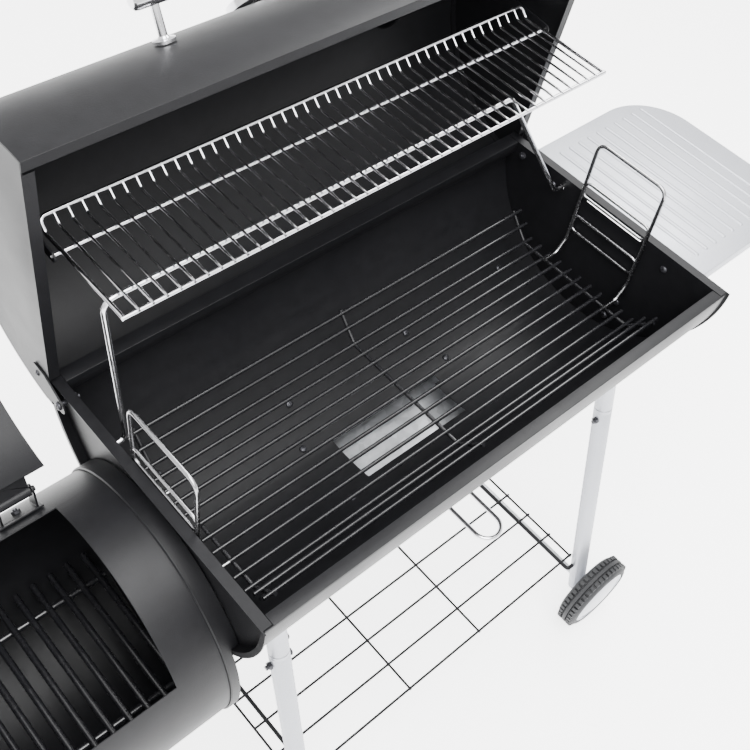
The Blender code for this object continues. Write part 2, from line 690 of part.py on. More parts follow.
# ---- charcoal grate -------------------------------------------------------------
def grate_lines():
    """Where the grate's long wires run, as (y, z) from the front to the rear."""
    middle = (GRATE_FLAT_WIRES - 1) / 2
    flat = [(GRATE_CENTRE_Y + (i - middle) * GRATE_PITCH, GRATE_FLOOR) for i in range(GRATE_FLAT_WIRES)]
    front = [(GRATE_CENTRE_Y - y, z) for y, z in reversed(GRATE_SIDE_STEPS)]
    rear = [(GRATE_CENTRE_Y + y, z) for y, z in GRATE_SIDE_STEPS]
    return front + flat + rear


def charcoal_grate(axis):
    """The tray of long wires over three bent cross wires."""
    lines = grate_lines()
    long_wires = wires([[(GRATE_X[0], y, z), (GRATE_X[1], y, z)] for y, z in lines], GRATE_WIRE)
    bend = [lines[0], lines[1], lines[2], lines[-3], lines[-2], lines[-1]]
    for end, other in ((0, 1), (-1, -2)):
        step = Vector(bend[end]) - Vector(bend[other])
        bend[end] = tuple(Vector(bend[end]) + step.normalized() * GRATE_WIRE)
    under = folded(bend, -GRATE_WIRE * 1.5)[len(bend):][::-1]
    cross = wires([[(x, y, z) for y, z in under] for x in GRATE_CROSS_X], GRATE_WIRE)
    add_part("charcoal_grate", union(long_wires, cross), "black", axis)


def grate_handle(name, side, axis):
    """A lifting handle: a tall wire bow with two loops that hook in the end wall's slot."""
    front, rear = HANDLE_Y
    r = 0.018

    def bow(y, sign):
        x = side * HANDLE_X
        corner = [(x, y + sign * r * (1 - math.cos(a)), HANDLE_TOP - r + r * math.sin(a))
                  for a in (0, math.pi / 6, math.pi / 3, math.pi / 2)]
        foot = [(side * GRATE_HANDLE_FOOT_X[1], y, GRATE_FLOOR + 0.005),
                (side * GRATE_HANDLE_FOOT_X[0], y, GRATE_FLOOR + 0.005), (x, y, HANDLE_BEND)]
        return foot + corner

    path = bow(front, 1) + bow(rear, -1)[::-1]
    body = wires([path], HANDLE_WIRE, 6)
    bars = []
    for pair in RUNG_HEIGHTS:
        for z in pair:
            bars.append([(side * HANDLE_X, front, z), (side * HANDLE_X, rear, z)])
    add_part(name, union(body, wires(bars, HANDLE_WIRE * 0.8, 4)), "chrome", axis)


# ---- lid, drawn closed on its hinge ----------------------------------------------
def lid_sheet(axis):
    """The lid's curved sheet, its front edge folded in and its rear edge short of the hinge."""
    sheet = arc(LID_RADIUS, LID_REAR_ANGLE, 180, ARC_STEPS, (0, LID_EDGE))
    profile = sheet + [(-LID_RADIUS + LID_LIP, LID_EDGE)]
    body = prism(folded(profile, SHEET), -LID_HALF_LENGTH, LID_HALF_LENGTH)
    flue = rod((CHIMNEY_X, 0, 0.1), (CHIMNEY_X, 0, 0.3), CHIMNEY_RADIUS - SHEET, 24)
    add_part("lid_sheet", cut(body, flue), "black", axis)


def lid_end(name, side, axis):
    """An end of the lid: a half disc inside the sheet, with a lip folded in along its bottom."""
    radius = LID_RADIUS - SHEET - GAP
    low = LID_EDGE + SHEET + GAP
    outline = [(y, z) for y, z in arc(radius, 2, 178, ARC_STEPS, (0, LID_EDGE)) if z > low]
    outline = [(outline[0][0], low)] + outline + [(outline[-1][0], low)]
    x = [side * LID_HALF_LENGTH, side * (LID_HALF_LENGTH - SHEET)]
    panel = prism(outline, min(x), max(x))
    lip_x = [side * LID_HALF_LENGTH, side * (LID_HALF_LENGTH - LID_LIP)]
    lip = box((min(lip_x), -radius + LID_LIP + 0.003, low), (max(lip_x), LID_END_LIP_REAR, low + SHEET))
    add_part(name, union(panel, lip), "black", axis)


def hinge_plate(name, side, axis):
    """The plate that carries the lid's end on the hinge bolt."""
    x = sorted((side * HINGE_PLATE_X[0], side * HINGE_PLATE_X[1]))
    foot = arc(HINGE_PLATE_RADIUS, -180, 0, 8, (HINGE_Y, HINGE_Z))
    outline = foot + [(HINGE_Y + HINGE_PLATE_RADIUS, HINGE_PLATE_TOP), (HINGE_Y - 0.024, HINGE_PLATE_TOP),
                      (HINGE_Y - 0.024, 0.014)]
    plate = prism(outline, *x)
    hole = rod((x[0] - 0.01, HINGE_Y, HINGE_Z), (x[1] + 0.01, HINGE_Y, HINGE_Z), BOLT_RADIUS + GAP, 12)
    add_part(name, cut(plate, hole), "black", axis)


def rack_hanger(name, side, axis):
    """The strap inside the lid that carries the warming rack's pivot."""
    y, z = RACK_PIVOT_CLOSED
    half = HANGER_WIDTH / 2
    x = sorted((side * HANGER_X[0], side * HANGER_X[1]))
    top = z + HANGER_LENGTH
    outline = arc(half, -180, 0, 6, (y, z)) + [(y + half, top), (y - half, top)]
    tab_x = sorted((side * HANGER_X[0], side * (LID_HALF_LENGTH - SHEET - GAP)))
    tab = box((tab_x[0], y - half, top - 0.002), (tab_x[1], y + half, top))
    turn_x = sorted((side * (LID_HALF_LENGTH - SHEET - GAP), side * (LID_HALF_LENGTH - SHEET - GAP - 0.002)))
    flange = box((turn_x[0], y - half, top - 0.002), (turn_x[1], y + half, top + 0.018))
    hole = rod((x[0] - 0.01, y, z), (x[1] + 0.01, y, z), RACK_RAIL_RADIUS + GAP, 8)
    add_part(name, cut(union(prism(outline, *x), tab, flange), hole), "black", axis)


def on_lid(angle, out=0.0):
    """A point of the closed lid's outside, by its angle from the rear, and its direction."""
    turn = math.radians(angle)
    radial = Vector((0, math.cos(turn), math.sin(turn)))
    return Vector((0, 0, LID_EDGE)) + radial * (LID_RADIUS + out), radial


def lid_handle(axis):
    """A bar across the lid's front on two posts."""
    middle, radial = on_lid(LID_HANDLE_ANGLE, GAP * 2)
    bar = middle + radial * LID_HANDLE_OUT
    end = Vector((LID_HANDLE_HALF + 0.022, 0, 0))
    grip = rod(bar - end, bar + end, 0.009, 10)
    posts = []
    for side in (-1, 1):
        at = Vector((side * LID_HANDLE_HALF, 0, 0))
        posts.append(rod(middle + at, bar + at, 0.005, 8))
        posts.append(rod(middle + at, middle + at + radial * 0.003, 0.011, 8))
    add_part("lid_handle", union(grip, *posts), "chrome", axis)


def thermometer(axis):
    """A round dial on the lid, its stem through the sheet left out."""
    start, radial = on_lid(THERMOMETER_ANGLE, GAP * 3)
    profile = [(0, 0), (0.030, 0), (0.033, 0.003), (0.033, 0.011), (0.029, 0.012), (0.028, 0.009), (0, 0.009)]
    add_part("thermometer", turned(profile, start, start + radial, 24), "dial", axis)


def chimney(axis):
    """A pipe standing on the lid, with a flange round its foot and a lug for its cap's pin."""
    low, high = LID_EDGE + LID_RADIUS - 0.012, CHIMNEY_TOP
    pipe = rod((CHIMNEY_X, 0, low), (CHIMNEY_X, 0, high), CHIMNEY_RADIUS, 24)
    flange = rod((CHIMNEY_X, 0, low - 0.002), (CHIMNEY_X, 0, low + 0.014), CHIMNEY_RADIUS + CHIMNEY_FLANGE, 24)
    lug = rod((CHIMNEY_X, CAP_PIN_Y, high - CAP_LUG), (CHIMNEY_X, CAP_PIN_Y, high), CAP_LUG_RADIUS, 12)
    shell = rod((-0.4, 0, LID_EDGE), (0.4, 0, LID_EDGE), LID_RADIUS + 2 * GAP, 2 * ARC_STEPS)
    hole = rod((CHIMNEY_X, CAP_PIN_Y, high - 0.05), (CHIMNEY_X, CAP_PIN_Y, 1), CAP_PIN_RADIUS + GAP, 8)
    bore = rod((CHIMNEY_X, 0, 0), (CHIMNEY_X, 0, 1), CHIMNEY_RADIUS - SHEET, 24)
    add_part("chimney", cut(union(pipe, flange, lug), shell, hole, bore), "black", axis)


def chimney_cap():
    """The flat cap that turns aside on a pin beside the pipe."""
    y, z = turned_about((CAP_PIN_Y, CHIMNEY_TOP), (HINGE_Y, HINGE_Z), LID_TURN)
    axis = add_axis("chimney_cap_axis", (CHIMNEY_X, y, z), turn=LID_TURN)
    low, high = CHIMNEY_TOP + GAP, CHIMNEY_TOP + GAP + CAP_THICKNESS

    def disc(y, radius, first, last, steps=24):
        return rod((CHIMNEY_X, y, first), (CHIMNEY_X, y, last), radius, steps)

    neck = box((CHIMNEY_X - 0.007, CAP_PIN_Y, low), (CHIMNEY_X + 0.007, 0, high))
    grip = box((CHIMNEY_X - 0.008, 0, low), (CHIMNEY_X + 0.008, CHIMNEY_CAP_RADIUS + CAP_GRIP, high))
    nut = CHIMNEY_TOP - CAP_LUG - GAP
    cap = union(
        disc(0, CHIMNEY_CAP_RADIUS, low, high), neck, grip, disc(CAP_PIN_Y, CAP_LUG_RADIUS + 0.001, low, high, 12),
        disc(CAP_PIN_Y, CAP_PIN_RADIUS, nut - 0.003, high + 0.002, 8),
        disc(CAP_PIN_Y, CAP_PIN_RADIUS * 2, nut - 0.003, nut, 6))
    cap.transform(Matrix.Translation(Vector((0, y, z)) - Vector((0, CAP_PIN_Y, CHIMNEY_TOP))))
    add_part("chimney_cap", cap, "black", axis)


# ---- warming rack, drawn with the lid open ----------------------------------------
def rack_rail(x):
    """A side of the rack, from its front to its raised rear."""
    return [(x, RACK_FRONT, RACK_HEIGHT), (x, RACK_BEND, RACK_HEIGHT), (x, *RACK_REAR)]


def warming_rack():
    """The rack of cross tines in a wire frame, with the wire it hangs by underneath."""
    axis = add_axis("warming_rack_axis", (0, RACK_PIVOT_Y, RACK_PIVOT_Z))
    half = RACK_HALF_LENGTH
    frame = wires([rack_rail(-half) + rack_rail(half)[::-1]], RACK_RAIL_RADIUS, closed=True)
    spread = half - RACK_TINE_MARGIN
    places = [-spread + 2 * spread * i / (RACK_TINES - 1) for i in range(RACK_TINES)]
    tines = wires([rack_rail(x) for x in places], RACK_TINE_RADIUS)
    end = HANGER_X[1] + 0.001
    pivot = wires([[(-end, RACK_PIVOT_Y, RACK_PIVOT_Z), (end, RACK_PIVOT_Y, RACK_PIVOT_Z)]], RACK_RAIL_RADIUS)
    add_part("warming_rack", union(frame, tines, pivot), "chrome", axis)


def rounded(points):
    """A path with its inner corners bent to a radius."""
    points = [Vector(point) for point in points]
    path = [points[0]]
    for before, corner, after in zip(points, points[1:], points[2:]):
        back, on = before - corner, after - corner
        reach = min(RACK_LEG_BEND / math.tan(back.angle(on) / 2), back.length * 0.45, on.length * 0.45)
        first, last = corner + back.normalized() * reach, corner + on.normalized() * reach
        for t in (0, 1 / 3, 2 / 3, 1):
            path.append(first * (1 - t) ** 2 + corner * 2 * t * (1 - t) + last * t ** 2)
    path.append(points[-1])
    return path


def rack_legs():
    """The bent wire that stands on the end walls and holds up the rack's front."""
    axis = add_axis("rack_legs_axis", (0, *RACK_FOOT))
    left, right = -RACK_LEG_X, RACK_LEG_X
    pin = WALL_X + SHEET + 0.002
    path = rounded([
        (-pin, *RACK_FOOT), (left, *RACK_FOOT), (left, RACK_CROSSBAR_Y, CROSSBAR_Z),
        (right - RACK_LEG_LEAN_IN, RACK_CROSSBAR_Y, CROSSBAR_Z), (right, *RACK_FOOT), (pin, *RACK_FOOT)])
    add_part("rack_legs", wires([path], RACK_LEG_RADIUS, 6), "chrome", axis)


# ---- firebox ----------------------------------------------------------------------
def firebox_arc(radius, first, last, steps):
    """(y, z) points round the firebox, in degrees from its top towards the rear."""
    return arc(radius, 90 - first, 90 - last, steps, (0, FIREBOX_Z))


def firebox_shell():
    """The firebox's round sheet, with the opening that its lid covers."""
    right = -BEAD_X[1] - GAP
    start = (right, 0, FIREBOX_Z)
    end = (right - FIREBOX_LENGTH, 0, FIREBOX_Z)
    shell = tube(start, end, FIREBOX_RADIUS, SHEET, 36)
    first, last = FIREBOX_OPENING_ANGLES
    wedge = [(0, FIREBOX_Z)] + firebox_arc(FIREBOX_RADIUS * 1.3, first, last, 8)
    add_part("firebox_shell", cut(shell, prism(wedge, *FIREBOX_OPENING_X)), "black")


def firebox_collar():
    """The plate and ring that join the firebox to the barrel, with the way through for smoke."""
    right = -BEAD_X[1] - GAP
    plate_x = (right - SHEET - 0.004, right - 0.004)
    inner = FIREBOX_RADIUS - SHEET - GAP
    plate = rod((plate_x[0], 0, FIREBOX_Z), (plate_x[1], 0, FIREBOX_Z), inner, 36)
    way = prism(smoke_way(0), plate_x[0] + SHEET / 3, -WALL_X - GAP)
    bore = prism(smoke_way(-SHEET), plate_x[0] - 0.01, -WALL_X + 0.01)
    body = cut(union(plate, way), bore)
    add_part("firebox_collar", body, "black")


def firebox_seam_ring():
    """The raised ring round the firebox's right end, notched where the barrel's bead passes."""
    outer, inner = FIREBOX_RADIUS + 0.0025, FIREBOX_RADIUS + GAP
    length = -FIREBOX_COLLAR_X + 0.003 - WALL_X - SHEET - GAP
    start = (-WALL_X - SHEET - GAP, 0, FIREBOX_Z)
    ring = turned(
        [(outer, 0), (outer, length), (inner, length), (inner, 0)], start, (-1, 0, FIREBOX_Z), 36, closed=True)
    bead = -BEAD_X[1] - GAP
    block = box((bead, -0.3, -0.5), (-0.3, 0.3, 0.1))
    inside = rod((bead - 0.01, 0, 0), (-0.29, 0, 0), WALL_FLANGE_RADIUS - SHEET - 2 * GAP, 2 * ARC_STEPS)
    add_part("firebox_ring", cut(ring, cut(block, inside)), "black")


def firebox_end():
    """The firebox's dished end, with a round air opening under a turning disc."""
    right = -BEAD_X[1] - GAP
    left = right - FIREBOX_LENGTH
    seat, bead = FIREBOX_RADIUS - SHEET - GAP, FIREBOX_RADIUS + 0.003
    dish = FIREBOX_DISH
    profile = [
        (0, 0), (seat - SHEET, 0), (seat - SHEET, dish + GAP + SHEET), (bead, dish + GAP + SHEET),
        (bead, dish + GAP), (seat, dish + GAP), (seat, -SHEET), (0, -SHEET)]
    start = (left + dish, 0, FIREBOX_Z)
    body = turned(profile, start, (left - 1, 0, FIREBOX_Z), 36)
    holes = []
    for i in range(VENT_HOLES):
        turn = 2 * math.pi * i / VENT_HOLES
        y, z = VENT_HOLE_RING * math.sin(turn), FIREBOX_VENT_Z + VENT_HOLE_RING * math.cos(turn)
        holes.append(rod((left - 0.01, y, z), (left + 0.03, y, z), VENT_HOLE_RADIUS, 10))
    pin = rod((left - 0.01, 0, FIREBOX_VENT_Z), (left + 0.03, 0, FIREBOX_VENT_Z), BOLT_RADIUS + GAP, 8)
    add_part("firebox_end", cut(body, pin, *holes), "black")


def firebox_vent():
    """The turning disc over the air holes, on its own pin."""
    left = -BEAD_X[1] - GAP - FIREBOX_LENGTH
    axis = add_axis("firebox_vent_axis", (left, 0, FIREBOX_VENT_Z))
    face = left + FIREBOX_DISH - GAP
    inside = face + SHEET + GAP * 2 + 0.001
    profile = [
        (0, 0), (BOLT_RADIUS * 1.8, 0), (BOLT_RADIUS * 1.8, 0.003), (BOLT_RADIUS, 0.003),
        (BOLT_RADIUS, inside + 0.003 - face), (VENT_RADIUS, inside + 0.003 - face),
        (VENT_RADIUS, inside + 0.0045 - face), (0, inside + 0.0045 - face)]
    body = turned(profile, (inside + 0.003, 0, FIREBOX_VENT_Z), (left - 1, 0, FIREBOX_VENT_Z), 24)
    holes = []
    for i in range(VENT_HOLES):
        turn = 2 * math.pi * (i + 0.3) / VENT_HOLES
        y, z = VENT_HOLE_RING * math.sin(turn), FIREBOX_VENT_Z + VENT_HOLE_RING * math.cos(turn)
        holes.append(rod((left - 0.01, y, z), (left + 0.03, y, z), VENT_HOLE_RADIUS, 10))
    add_part("firebox_vent", cut(body, *holes), "black", axis)


def firebox_grate():
    """Flat bars across the firebox on two long rods."""
    x0, x1 = FIREBOX_GRATE_X
    count = FIREBOX_BARS
    half = FIREBOX_GRATE_HALF
    z = FIREBOX_GRATE_Z
    bars = []
    for i in range(count):
        x = x0 + (x1 - x0) * i / (count - 1)
        bars.append([(x, -half, z), (x, half, z)])
    low = z - 0.0068
    runners = [[(x0 - 0.008, y, low), (x1 + 0.008, y, low)] for y in (-half * 0.7, half * 0.7)]
    add_part("firebox_grate", union(wires(bars, 0.004), wires(runners, 0.004)), "black")


def firebox_hinge(name, middle):
    """A bracket bolted on the firebox, with two ears and the hinge pin."""
    foot_x = (middle - FIREBOX_HINGE_HALF - 0.004, middle + FIREBOX_HINGE_HALF + 0.004)
    first, last = FIREBOX_HINGE_ANGLES
    inner = FIREBOX_RADIUS + GAP * 2
    sheet = firebox_arc(inner, first, last, 4) + firebox_arc(inner + 0.002, last, first, 4)
    foot = prism(sheet, *foot_x)
    pin_at = (FIREBOX_HINGE_Y, FIREBOX_HINGE_Z)
    ears = []
    root = firebox_arc(inner + 0.001, first + 1.5, last - 1.5, 2)
    for side in (-1, 1):
        x = sorted((middle + side * FIREBOX_HINGE_HALF, middle + side * (FIREBOX_HINGE_HALF - 0.002)))
        outline = [root[0], root[-1], (pin_at[0] + 0.006, pin_at[1]), (pin_at[0] + 0.003, pin_at[1] + 0.006),
                   (pin_at[0] - 0.003, pin_at[1] + 0.006), (pin_at[0] - 0.006, pin_at[1])]
        ears.append(prism(outline[::-1], *x))
    reach = FIREBOX_HINGE_HALF + 0.003
    pin = rod((middle - reach, *pin_at), (middle + reach, *pin_at), 0.003, 10)
    add_part(name, union(foot, *ears, pin), "black")


def firebox_lid(axis):
    """The curved plate over the firebox's opening, with an arm and a knuckle on each hinge."""
    inner = FIREBOX_RADIUS + GAP * 2
    first, last = FIREBOX_LID_ANGLES
    outline = firebox_arc(inner, first, last, 16) + firebox_arc(inner + SHEET, last, first, 16)
    body = prism(outline, *FIREBOX_LID_X)
    pin_at = Vector((FIREBOX_HINGE_Y, FIREBOX_HINGE_Z))
    edge = Vector(firebox_arc(inner + SHEET / 2, last - 2, last, 1)[0])
    step = (edge - pin_at).normalized()
    start = pin_at + step * 0.0045
    side = Vector((-step.y, step.x)) * 0.001
    arm_outline = [tuple(start - side), tuple(edge - side), tuple(edge + side), tuple(start + side)]
    pieces = []
    holes = []
    for middle in FIREBOX_HINGE_X:
        half = FIREBOX_HINGE_HALF - 0.003
        pieces.append(prism(arm_outline, middle - half, middle + half))
        pieces.append(rod((middle - half, *pin_at), (middle + half, *pin_at), 0.0055, 12))
        holes.append(rod((middle - half - 0.01, *pin_at), (middle + half + 0.01, *pin_at), 0.003 + GAP, 10))
    add_part("firebox_lid", cut(union(body, *pieces), *holes), "black", axis)


def firebox_lid_handle(axis):
    """A plain bar on the front of the firebox lid, on two posts."""
    outward = math.radians(90 - FIREBOX_HANDLE_ANGLE)
    radial = Vector((0, math.cos(outward), math.sin(outward)))
    base = Vector((FIREBOX_HANDLE_X, 0, FIREBOX_Z)) + radial * (FIREBOX_RADIUS + SHEET + GAP * 4)
    out = base + radial * 0.028
    end = Vector((0.060, 0, 0))
    body = rod(out - end, out + end, 0.0075, 10)
    posts = [rod(base + end * side * 0.7, out + end * side * 0.7, 0.004, 8) for side in (-1, 1)]
    add_part("firebox_lid_handle", union(body, *posts), "chrome", axis)


# ---- the whole grill ------------------------------------------------------------
def build_fixed():
    """Everything that stands still."""
    trough()
    end_wall("end_wall_left", -1)
    end_wall("end_wall_right", 1)
    for corner, side_x, side_y in LEG_CORNERS:
        leg(corner, side_x, side_y)
    leg_foot("front", -1)
    leg_foot("rear", 1)
    bottom_shelf()
    wheel_axle()
    side_shelf()
    shelf_bracket("shelf_bracket_front", SHELF_BRACKET_Y[0])
    shelf_bracket("shelf_bracket_rear", SHELF_BRACKET_Y[1])
    tool_hook()
    ash_pan_rail("ash_pan_rail_left", -1)
    ash_pan_rail("ash_pan_rail_right", 1)
    for name, side in (("hinge_bolt_left", -1), ("hinge_bolt_right", 1)):
        head = side * (HINGE_PLATE_X[1] + GAP)
        end = side * (WALL_X - GAP - BOLT_NUT - 0.002)
        bolt(name, (head, HINGE_Y, HINGE_Z), (end, HINGE_Y, HINGE_Z))
    firebox_shell()
    firebox_collar()
    firebox_seam_ring()
    firebox_end()
    firebox_grate()
    firebox_hinge("firebox_hinge_left", FIREBOX_HINGE_X[0])
    firebox_hinge("firebox_hinge_right", FIREBOX_HINGE_X[1])


def build_lid():
    """The lid and all that turns with it."""
    axis = add_axis("lid_axis", (0, HINGE_Y, HINGE_Z), turn=LID_TURN)
    lid_sheet(axis)
    for word, side in (("left", -1), ("right", 1)):
        lid_end("lid_end_" + word, side, axis)
        hinge_plate("lid_hinge_plate_" + word, side, axis)
        rack_hanger("rack_hanger_" + word, side, axis)
    lid_handle(axis)
    thermometer(axis)
    chimney(axis)
    chimney_cap()


def build_moving():
    """Everything else that moves."""
    warming_rack()
    rack_legs()
    ash_pan()
    axis = add_axis("grate_axis", (0, GRATE_CENTRE_Y, GRATE_FLOOR))
    charcoal_grate(axis)
    grate_handle("grate_handle_left", -1, axis)
    grate_handle("grate_handle_right", 1, axis)
    axis = add_axis("firebox_lid_axis", (FIREBOX_HINGE_X[1], FIREBOX_HINGE_Y, FIREBOX_HINGE_Z),
                    turn=-math.radians(FIREBOX_LID_OPEN_ANGLE))
    firebox_lid(axis)
    firebox_lid_handle(axis)
    firebox_vent()
    wheel("wheel_front", -1)
    wheel("wheel_rear", 1)


clear_scene()
GRILL = make_collection("barrel_charcoal_grill")
AXIS_POINTS = {}
BARREL = bpy.data.objects.new("barrel_centre", None)
GRILL.objects.link(BARREL)
BARREL.location = CENTRE
build_fixed()
build_lid()
build_moving()
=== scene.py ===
"""The looks of a barrel charcoal grill, built piece by piece on the frame of its solid model."""

import json
import math

import bmesh
import bpy
from bpy.props import FloatProperty, FloatVectorProperty, IntProperty, PointerProperty
from mathutils import Matrix, Vector


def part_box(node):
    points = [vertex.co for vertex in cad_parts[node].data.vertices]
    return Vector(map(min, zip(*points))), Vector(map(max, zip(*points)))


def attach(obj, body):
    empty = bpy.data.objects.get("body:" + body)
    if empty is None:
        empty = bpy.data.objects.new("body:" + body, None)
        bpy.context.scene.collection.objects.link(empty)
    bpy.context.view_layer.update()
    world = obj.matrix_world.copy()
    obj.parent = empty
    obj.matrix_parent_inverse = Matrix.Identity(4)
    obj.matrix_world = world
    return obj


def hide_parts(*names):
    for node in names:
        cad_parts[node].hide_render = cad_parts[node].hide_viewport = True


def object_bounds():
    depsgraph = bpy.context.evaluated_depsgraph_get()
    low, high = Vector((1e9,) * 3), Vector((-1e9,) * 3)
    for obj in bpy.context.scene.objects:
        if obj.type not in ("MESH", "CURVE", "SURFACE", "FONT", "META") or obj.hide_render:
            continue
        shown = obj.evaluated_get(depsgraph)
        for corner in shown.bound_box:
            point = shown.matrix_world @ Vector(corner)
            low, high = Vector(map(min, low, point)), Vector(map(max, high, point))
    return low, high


bl_info = {
    "name": "Barrel charcoal grill",
    "version": (1, 0, 0),
    "blender": (4, 5, 0),
    "location": "3D View > Sidebar > Grill",
    "description": "Builds the finished pieces of a barrel charcoal grill on its solid frame",
    "category": "Add Mesh",
}

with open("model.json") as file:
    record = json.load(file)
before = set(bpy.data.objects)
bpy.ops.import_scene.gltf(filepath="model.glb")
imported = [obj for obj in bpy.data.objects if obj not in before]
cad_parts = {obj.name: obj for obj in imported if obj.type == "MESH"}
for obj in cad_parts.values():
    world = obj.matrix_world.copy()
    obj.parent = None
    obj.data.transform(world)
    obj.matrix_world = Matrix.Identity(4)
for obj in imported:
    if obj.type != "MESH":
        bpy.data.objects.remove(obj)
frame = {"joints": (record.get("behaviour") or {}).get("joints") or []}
CAD_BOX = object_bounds()
JOINTS = {joint["name"]: joint for joint in frame["joints"]}

# ---- places read from the frame: everything is laid out from the middle of the barrel's rim ----
TROUGH_LOW, TROUGH_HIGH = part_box("trough")
RADIUS = (TROUGH_HIGH.y - TROUGH_LOW.y) / 2
MIDDLE = Vector((
    (TROUGH_LOW.x + TROUGH_HIGH.x) / 2, (TROUGH_LOW.y + TROUGH_HIGH.y) / 2, TROUGH_LOW.z + RADIUS))
HALF_LENGTH = (TROUGH_HIGH.x - TROUGH_LOW.x) / 2


def from_middle(joint):
    """A joint's place, counted from the middle of the rim."""
    return Vector(JOINTS[joint]["pos_m"]) - MIDDLE


HINGE = from_middle("lid_hinge")
RACK_PIVOT = from_middle("rack_swing")
RACK_FOOT = from_middle("rack_leg_swing")
FIREBOX_HINGE = from_middle("firebox_lid_hinge")
LID_OPEN = math.radians(JOINTS["lid_hinge"]["range_deg"][1])
FIREBOX_LID_OPEN = math.radians(JOINTS["firebox_lid_hinge"]["range_deg"][1])
GAP = 0.0004
SHEET = 0.0015
BOLT_HOLE = 0.0034
BOLT_SHAFT = 0.0029
WALL_X = 0.340
BEAD_X = (0.3504, 0.3519)
LID_RADIUS = 0.176
LID_EDGE = 0.005
LID_HALF = 0.355
LID_REAR_ANGLE = 4.0
FIREBOX_RADIUS = 0.150
FIREBOX_Z = -0.182
FIREBOX_LENGTH = 0.330
FIREBOX_RIGHT = -(BEAD_X[1] + GAP)
FIREBOX_LEFT = FIREBOX_RIGHT - FIREBOX_LENGTH
FIREBOX_DISH = 0.0085
SMOKE_WAY = ((-0.070, 0.070), (-0.135, -0.075))
LEG_X = 0.280
LEG_LEAN = math.tan(math.radians(12.63))
LEG_JOINT_Z = -0.228
ARC_STEPS = 96


# ---- sizes and colours that a user can change ----------------------------------------------
class GrillSizes(bpy.types.PropertyGroup):
    """Sizes of the finished pieces."""

    sheet: FloatProperty(
        name="Sheet", description="Thickness of the steel sheet", default=SHEET, min=0.0008, max=0.003,
        unit="LENGTH")
    edge: FloatProperty(
        name="Edge", description="Rounding of sheet edges", default=0.0005, min=0.0001, max=0.001,
        unit="LENGTH")
    grate_wire: FloatProperty(
        name="Grate wire", description="Radius of the grate's wires", default=0.0025, min=0.001, max=0.004,
        unit="LENGTH")
    rack_tines: IntProperty(
        name="Rack tines", description="Tines across the warming rack", default=43, min=8, max=60)
    rack_tine: FloatProperty(
        name="Rack tine", description="Radius of a warming rack tine", default=0.0015, min=0.001, max=0.003,
        unit="LENGTH")
    treads: IntProperty(name="Treads", description="Tread blocks round a tyre", default=44, min=12, max=80)


class GrillColours(bpy.types.PropertyGroup):
    """Colours of the finishes."""

    paint: FloatVectorProperty(
        name="Paint", description="Heat-proof paint of the sheets", subtype="COLOR", size=3,
        default=(0.0052, 0.0052, 0.0060), min=0, max=1)
    wire: FloatVectorProperty(
        name="Wire", description="Enamel of the dark wires", subtype="COLOR", size=3,
        default=(0.006, 0.006, 0.007), min=0, max=1)
    chrome: FloatVectorProperty(
        name="Chrome", description="Plating of the bright wires", subtype="COLOR", size=3,
        default=(0.72, 0.72, 0.74), min=0, max=1)
    silver: FloatVectorProperty(
        name="Silver", description="Silver paint of legs and shelf", subtype="COLOR", size=3,
        default=(0.36, 0.37, 0.40), min=0, max=1)
    zinc: FloatVectorProperty(
        name="Zinc", description="Galvanised sheet of the ash pan", subtype="COLOR", size=3,
        default=(0.46, 0.47, 0.49), min=0, max=1)
    tyre: FloatVectorProperty(
        name="Tyre", description="Rubber of the tyres", subtype="COLOR", size=3,
        default=(0.014, 0.0145, 0.016), min=0, max=1)


# ---- node helpers -------------------------------------------------------------------------
def new_material(name, colour, roughness, metallic=0.0):
    """A Principled material, and the tools to add nodes to it."""
    material = bpy.data.materials.new(name)
    material.use_nodes = True
    shader = material.node_tree.nodes["Principled BSDF"]
    shader.inputs["Base Color"].default_value = (*colour, 1)
    shader.inputs["Roughness"].default_value = roughness
    shader.inputs["Metallic"].default_value = metallic
    return material, material.node_tree.nodes, material.node_tree.links, shader


def texture(nodes, links, kind, scale, stretch=(1, 1, 1), **settings):
    """A texture node on Object coordinates."""
    place = nodes.new("ShaderNodeTexCoord")
    mapping = nodes.new("ShaderNodeMapping")
    mapping.inputs["Scale"].default_value = stretch
    node = nodes.new(kind)
    node.inputs["Scale"].default_value = scale
    for key, value in settings.items():
        node.inputs[key].default_value = value
    links.new(place.outputs["Object"], mapping.inputs["Vector"])
    links.new(mapping.outputs["Vector"], node.inputs["Vector"])
    return node


def spread(nodes, links, source, low, high, target, start=0.3, end=0.7):
    """Maps a grey value onto a range of numbers or colours."""
    if isinstance(low, (tuple, list)):
        ramp = nodes.new("ShaderNodeValToRGB")
        ramp.color_ramp.elements[0].position = start
        ramp.color_ramp.elements[0].color = (*low, 1)
        ramp.color_ramp.elements[1].position = end
        ramp.color_ramp.elements[1].color = (*high, 1)
        links.new(source, ramp.inputs["Fac"])
        links.new(ramp.outputs["Color"], target)
        return
    node = nodes.new("ShaderNodeMapRange")
    node.inputs["From Min"].default_value = start
    node.inputs["From Max"].default_value = end
    node.inputs["To Min"].default_value = low
    node.inputs["To Max"].default_value = high
    links.new(source, node.inputs["Value"])
    links.new(node.outputs["Result"], target)


def bump(nodes, links, shader, source, strength, distance):
    """Raises a surface by a grey value, on top of any bump it has."""
    node = nodes.new("ShaderNodeBump")
    node.inputs["Strength"].default_value = strength
    node.inputs["Distance"].default_value = distance
    links.new(source, node.inputs["Height"])
    if shader.inputs["Normal"].is_linked:
        links.new(shader.inputs["Normal"].links[0].from_socket, node.inputs["Normal"])
    links.new(node.outputs["Normal"], shader.inputs["Normal"])


def shade(colour, factor):
    """A lighter or darker shade of a colour."""
    return tuple(min(1.0, part * factor) for part in colour)


